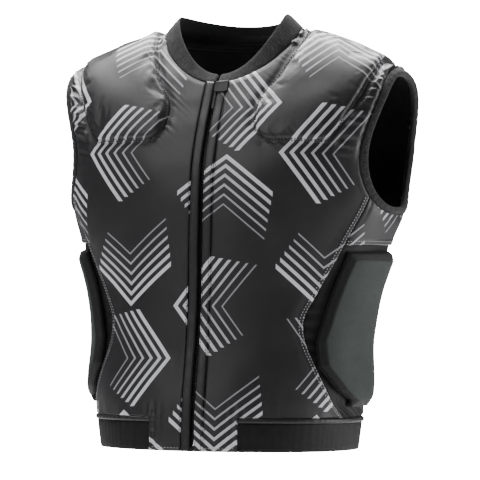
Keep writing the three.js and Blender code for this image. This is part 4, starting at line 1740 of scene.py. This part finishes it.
@dataclass
class Zip:
    """The zip down the front: facings, tapes, teeth, slider, stop and garage."""

    rows: int = 240
    tooth_pitch: float = 0.0021
    chain: float = 0.475

    def levels(self, count: int) -> Array:
        """Rows from the hem to the neck, evenly spaced along the front."""
        fine = np.linspace(0, TOP_ROW, 800)
        steps = np.linalg.norm(np.diff(FORM.point(0.0, fine), axis=0), axis=1)
        run = np.concatenate([[0], np.cumsum(steps)])
        return np.interp(np.linspace(0, run[-1], count), run, fine)

    def facing(self, side: Side) -> bpy.types.Object:
        """One facing strip beside the slot."""
        levels = self.levels(self.rows)
        across, through = rounded(20, 0.45, 0.5)
        top, low = 0.8 * MM, -4.9 * MM
        angle = FORM.angle_at(SLOT_HALF + FACING_WIDTH * (0.5 + 0.5 * across), levels[:, None])
        patch = Patch(angle * side.value, levels[:, None], FRONT_PATTERN.uv)
        wave = Ripple(0.03, 0.14 * MM, 141 + side.value).at(patch.points)
        points = patch.lifted(low + (top - low) * (0.5 + 0.5 * through) + wave)
        points[:, -1] = points[:, 0]
        piece = band_piece(f"zip_facing_{side.word}_cloth", points, patch.uv)
        finish = FINISHES.printed if side is Side.LEFT else FINISHES.plain
        return declare(piece, finish, "facing_cloth", f"zip_facing_{side.word}")

    def tape(self, side: Side) -> bpy.types.Object:
        """One woven tape under its facing."""
        levels = self.levels(120)
        x = np.linspace(0.15 * MM, FACING_EDGE + 4 * MM, 13)
        patch = Patch(FORM.angle_at(x, levels[:, None]) * side.value, levels[:, None])
        piece = sheet_piece(f"zip_tape_{side.word}_woven", patch, -5.35 * MM, 0.7 * MM)
        return declare(piece, FINISHES.tape, "zip_tape", f"zip_tape_{side.word}")

    def teeth(self) -> bpy.types.Object:
        """The two rows of teeth, meshed."""
        levels = self.levels(int(self.chain / self.tooth_pitch) + 2)[1:-1]
        side = np.where(np.arange(len(levels)) % 2, 1, -1)
        spots = FORM.lifted(FORM.angle_at(0.8 * MM * side, levels), levels, -4.2 * MM)
        normal = FORM.normal(np.zeros(len(levels)), levels)
        up = np.cross(normal, [1, 0, 0])
        across = np.broadcast_to([2.9 * MM, 0, 0], normal.shape)
        axes = np.stack([across, up * 1.25 * MM, normal * 2.2 * MM], axis=1)
        piece = copies("zip_chain_teeth", bevelled_cube(0.2, 1), spots, axes)
        return declare(piece, FINISHES.plastic, "zip_plastic", "zip_chain")

    def garage(self) -> bpy.types.Object:
        """The rounded flap over the top of the zip."""
        low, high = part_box("zip_garage")
        across, up = np.meshgrid(np.linspace(-1, 1, 41), np.linspace(-1, 1, 35))
        power = 5.0
        norm = (np.abs(across) ** power + np.abs(up) ** power) ** (1 / power)
        shrink = np.maximum(np.maximum(np.abs(across), np.abs(up)), 1e-6) / np.maximum(norm, 1e-6)
        across, up = across * shrink, up * shrink
        x = (low.x + high.x) / 2 + across * (high.x - low.x) / 2
        top, foot = NECK_ROW + 0.02, self.below(0.0148)
        row = (foot + top) / 2 + up * (top - foot) / 2
        angle = FORM.angle_at(x, row)
        patch = Patch(angle, row)
        edge = 1 - np.maximum(np.abs(across), np.abs(up))
        height = 1.7 * MM + 0.7 * MM * smoothstep(0, 0.25, edge) + 0.2 * MM * smoothstep(0.3, 0.2, edge)
        piece = sheet_piece("zip_garage_flap", patch, height, 1.3 * MM)
        return declare(piece, FINISHES.stretch, "facing_cloth", "zip_garage")

    def block(
        self, name: str, node: str, parts: Sequence[tuple[float, float, float, float, float]],
    ) -> bpy.types.Object:
        """A small moulded piece from bevelled blocks that lie along the zip.

        Args:
            name: the piece's name.
            node: the CAD node that it stands for.
            parts: for each block its half width, lowest row, highest row, lowest and highest height.

        Returns:
            The new object.
        """
        whole = bmesh.new()
        for half, low, high, bottom, top in parts:
            block = bevelled_cube(0.12, 3)
            for vertex in block.verts:
                row = low + (high - low) * (vertex.co.y + 0.5)
                height = bottom + (top - bottom) * (vertex.co.z + 0.5)
                spot = FORM.lifted(0.0, row, height)
                vertex.co = Vector((vertex.co.x * 2 * half, spot[1], spot[2]))
            bmesh.ops.recalc_face_normals(block, faces=block.faces)
            mesh = bpy.data.meshes.new(name)
            block.to_mesh(mesh)
            block.free()
            whole.from_mesh(mesh)
            bpy.data.meshes.remove(mesh)
        piece = link(name, whole)
        shade_smooth(piece)
        return declare(piece, FINISHES.plastic, "zip_plastic", node)

    def below(self, size: float) -> float:
        """The row a distance below the top of the zip."""
        return float(TOP_ROW - FORM.rows_for(size, 0, NECK_ROW - 0.5))

    def build(self) -> list[bpy.types.Object]:
        """Everything along the zip."""
        pieces = [self.facing(side) for side in Side] + [self.tape(side) for side in Side]
        pieces.append(self.teeth())
        pieces.append(self.garage())
        slider = (
            (2.3 * MM, self.below(0.0125), self.below(0.0035), -3.3 * MM, -0.8 * MM),
            (1.75 * MM, self.below(0.0345), self.below(0.009), -2.4 * MM, -1.1 * MM),
        )
        pieces.append(self.block("zip_slider_pull", "zip_slider", slider))
        stop = ((2.3 * MM, 0.0, float(FORM.rows_for(0.005, 0, 0.5)), -3.3 * MM, -0.8 * MM),)
        pieces.append(self.block("zip_stop_block", "zip_stop", stop))
        return pieces


@dataclass
class Linings:
    """The black lining inside the fronts, the sides and the back."""

    rows: SeamRows = field(default_factory=lambda: SeamRows(held=56, opened=40, shoulder=20))

    def lay(self, node: str, angle: Array, row: Array, wall: float, waves: Ripple) -> bpy.types.Object:
        """A lining inside a wall.

        Args:
            node: the CAD node that it stands for.
            angle: angles of its grid.
            row: rows of its grid.
            wall: thickness of the wall over it.
            waves: its unevenness.

        Returns:
            The new object.
        """
        patch = Patch(angle, row)
        height = waves.at(patch.points) - wall - LINING_EASE - 0.3 * MM
        piece = sheet_piece(f"{node}_mesh", patch, height, LINING_CLOTH)
        return declare(piece, FINISHES.lining, "lining", node)

    def front(self, side: Side) -> bpy.types.Object:
        """The lining of a front."""
        rows = self.rows
        angle = fan(FORM.angle_at(FACING_EDGE + GAP, rows.row), rows.front, 48) * side.value
        waves = Ripple(0.08, 0.35 * MM, 151)
        return self.lay(f"lining_front_{side.word}", angle, rows.row[:, None], PANEL_WALL, waves)

    def back(self) -> bpy.types.Object:
        """The lining of the back."""
        rows = self.rows
        angle = fan(rows.back, 360 - rows.back, 96)
        return self.lay("lining_back", angle, rows.row[:, None], PANEL_WALL, Ripple(0.08, 0.35 * MM, 152))

    def side(self, side: Side) -> bpy.types.Object:
        """The lining of a side."""
        angle, row = under_arm(FOOT_ROW, 90, 48)
        waves = Ripple(0.08, 0.3 * MM, 153)
        return self.lay(f"lining_side_{side.word}", angle * side.value, row, SIDE_WALL, waves)

    def build(self) -> list[bpy.types.Object]:
        """All the linings."""
        pieces = [self.front(side) for side in Side] + [self.side(side) for side in Side]
        return pieces + [self.back()]


@dataclass
class Seams:
    """Lines of stitches over the pieces."""

    dark: Sewing = field(
        default_factory=lambda: Sewing("dark_stitches", FINISHES.dark_thread, "facing_cloth"),
    )
    light: Sewing = field(
        default_factory=lambda: Sewing("light_stitches", FINISHES.light_thread, "binding_knit"),
    )
    seam: Stitch = field(default_factory=lambda: Stitch(0.0024, 0.0039, 0.0015, -0.0002))
    cover: Stitch = field(default_factory=lambda: Stitch(0.0019, 0.0036, 0.0012))

    def front(self, host: bpy.types.Object, side: Side) -> None:
        """The cover stitch of a front's side edge, and the rows beside its facing and its hem."""
        meet_row = ARMHOLE.edge(MEETING_STOP, PANEL_GROWTH)[1]
        level = np.linspace(FOOT_ROW, float(meet_row), 400)
        seam, _ = side_seams(level)
        for inset in (1.4 * MM, 5.2 * MM):
            angle = (seam - FORM.angle_for(inset, seam, level)) * side.value
            self.light.line(host, FORM.point(angle, level), self.cover)
        rows = np.linspace(0.02, 9.95, 500)
        angle = FORM.angle_at(FACING_EDGE + 1.6 * MM, rows) * side.value
        self.dark.line(host, FORM.lifted(angle, rows, 2 * MM))
        x = np.linspace(FACING_EDGE + 2 * MM, TAB_WIDTH - 1.5 * MM, 40)
        hem = FORM.rows_for(0.004, 0, 0.5)
        angle = FORM.angle_at(x, hem) * side.value
        self.light.line(host, FORM.point(angle, hem), Stitch(width=0.0009))

    def pad(self, host: bpy.types.Object, side: Side) -> None:
        """The two rows round a shoulder pad."""
        neck_angle, neck_row, arm_angle, arm_row = full_pad_rows(300)
        for inset, last in ((0.009, 1), (0.024, 3)):
            share = np.linspace(inset, 1 - inset, 60)
            for end in (last, -1 - last):
                angle = neck_angle[end] + (arm_angle[end] - neck_angle[end]) * share
                row = neck_row[end] + (arm_row[end] - neck_row[end]) * share
                self.dark.line(host, FORM.lifted(angle * side.value, row, 2 * MM), self.seam)
            for share in (inset, 1 - inset):
                angle = (neck_angle + (arm_angle - neck_angle) * share)[last:-last]
                row = (neck_row + (arm_row - neck_row) * share)[last:-last]
                self.dark.line(host, FORM.lifted(angle * side.value, row, 2 * MM), self.seam)

    def gusset(self, host: bpy.types.Object, side: Side) -> None:
        """The lower hem of a gusset."""
        front, back = (float(a) for a in side_seams(np.array(GUSSET_ROW)))
        for rise in (1.6 * MM, 5.4 * MM):
            row = GUSSET_ROW + float(FORM.rows_for(rise, 90, GUSSET_ROW))
            angle = np.linspace(front + 1, back - 1, 200) * side.value
            self.light.line(host, FORM.point(angle, row), self.cover)

    def binding(self, host: bpy.types.Object, side: Side) -> None:
        """The row that holds a binding down."""
        stop = np.linspace(0, 360, 500)
        angle, row = ARMHOLE.edge(stop, BINDING_WIDTH * 0.86)
        self.dark.line(host, FORM.lifted(angle * side.value, row, 1 * MM))

    def facing(self, host: bpy.types.Object, side: Side) -> None:
        """The two rows down a facing."""
        rows = np.linspace(0.02, 9.9, 500)
        for x in (SLOT_HALF + 1.5 * MM, FACING_EDGE - 1.6 * MM):
            angle = FORM.angle_at(x, rows) * side.value
            self.dark.line(host, FORM.lifted(angle, rows, 3 * MM))

    def rib_pad(self, host: bpy.types.Object, side: Side) -> None:
        """The row along the top of a rib pad."""
        table = np.array(RIB_PAD, float)
        row = table[-1, 0] + float(FORM.rows_for(0.0075, 90, table[-1, 0]))
        angle = np.linspace(table[-1, 1], table[-1, 2], 120) * side.value
        self.dark.line(host, FORM.lifted(angle, row, 5 * MM))

    def build(self) -> None:
        """Makes both threads."""
        self.dark.build()
        self.light.build()


@dataclass
class Studio:
    """A pale floor, soft lights and the photograph's camera."""

    azimuth: float = 21
    distance: float = 5.0
    lens: float = 312.5
    middle_z: float = -0.25
    aim_right: float = 0.0072
    roll: float = 0.4
    floor_z: float = -0.80
    fill: float = 0.17

    def floor(self) -> None:
        """The floor, a disc that looks brighter to the camera than it is."""
        disc = bmesh.new()
        bmesh.ops.create_circle(disc, cap_ends=True, segments=96, radius=3.4)
        bmesh.ops.translate(disc, verts=disc.verts, vec=(0, 0, self.floor_z))
        floor = link("floor", disc)
        tree = Tree("pale floor")
        tree.shade(Base_Color=srgb((246, 246, 246)), Roughness=0.9)
        bright = Term(tree, tree.node("ShaderNodeEmission", None, {"Strength": 1.6}).outputs[0])
        plain = Term(tree, tree.shader.outputs[0])
        both = Term(tree, tree.node("ShaderNodeAddShader", None, {0: plain, 1: bright}).outputs[0])
        seen = Term(tree, tree.node("ShaderNodeLightPath").outputs["Is Camera Ray"])
        shown = Term(tree, tree.node("ShaderNodeMixShader", None, {0: seen, 1: plain, 2: both}).outputs[0])
        tree.feed(tree.tree.nodes["Material Output"].inputs[0], shown)
        floor.data.materials.append(tree.material)

    def world(self) -> None:
        """Even pale light from all round."""
        world = bpy.data.worlds.new("studio")
        world.use_nodes = True
        tree = world.node_tree
        lighting = tree.nodes["Background"]
        lighting.inputs[0].default_value = (1, 1, 1, 1)
        lighting.inputs[1].default_value = self.fill
        backdrop = tree.nodes.new("ShaderNodeBackground")
        backdrop.inputs[1].default_value = 40
        path = tree.nodes.new("ShaderNodeLightPath")
        mix = tree.nodes.new("ShaderNodeMixShader")
        tree.links.new(path.outputs["Is Camera Ray"], mix.inputs[0])
        tree.links.new(lighting.outputs[0], mix.inputs[1])
        tree.links.new(backdrop.outputs[0], mix.inputs[2])
        tree.links.new(mix.outputs[0], tree.nodes["World Output"].inputs[0])
        bpy.context.scene.world = world

    def light(self, name: str, spot: Sequence[float], size: tuple[float, float], power: float) -> None:
        """A soft box that faces the chest."""
        lamp = bpy.data.lights.new(name, "AREA")
        lamp.shape = "RECTANGLE"
        lamp.size, lamp.size_y = size
        lamp.energy = power
        thing = bpy.data.objects.new(name, lamp)
        thing.location = spot
        ahead = Vector((0, 0, self.middle_z)) - Vector(spot)
        thing.rotation_euler = ahead.to_track_quat("-Z", "Y").to_euler()
        bpy.context.scene.collection.objects.link(thing)

    def camera(self) -> None:
        """The photograph's view."""
        turn = math.radians(self.azimuth)
        right = Vector((math.cos(turn), math.sin(turn), 0))
        back = Vector((math.sin(turn), -math.cos(turn), 0))
        aim = right * self.aim_right + Vector((0, 0, self.middle_z))
        lens = bpy.data.cameras.new("camera")
        lens.lens = self.lens
        lens.sensor_width = 36
        lens.clip_end = 50
        camera = bpy.data.objects.new("camera", lens)
        camera.location = aim + back * self.distance
        facing = (aim - camera.location).to_track_quat("-Z", "Y").to_matrix().to_4x4()
        facing.translation = camera.location
        camera.matrix_world = facing
        camera.rotation_euler.rotate_axis("Z", math.radians(self.roll))
        bpy.context.scene.collection.objects.link(camera)
        bpy.context.scene.camera = camera

    def build(self) -> None:
        """The whole studio."""
        self.floor()
        self.world()
        self.light("top box", (-0.35, 0.4, 1.2), (1.5, 0.9), 85)
        self.light("right box", (1.6, 0.45, 0.05), (0.6, 1.5), 22)
        self.light("front box", (-1.1, -2.2, 1.2), (1.0, 1.0), 20)
        self.camera()


def main() -> None:
    """Builds the studio, and the vest round its frame."""
    logging.basicConfig(level=logging.INFO, format="%(name)s %(message)s")
    Studio().build()
    seams = Seams()
    panels, sides, shoulders = Panels(), SidePanels(), ShoulderPads()
    ribs, bindings = RibPads(), Bindings()
    for side in Side:
        seams.front(panels.front(side), side)
        seams.gusset(panels.gusset(side), side)
        sides.build(side)
        seams.pad(shoulders.build(side), side)
        seams.rib_pad(ribs.build(side), side)
        seams.binding(bindings.build(side), side)
    panels.back()
    collar = NeckBand()
    collar.build()
    collar.tape()
    Waist().build()
    pieces = Zip().build()
    for side, piece in zip(Side, pieces):
        seams.facing(piece, side)
    Linings().build()
    seams.build()


if __name__ == "__main__":
    main()
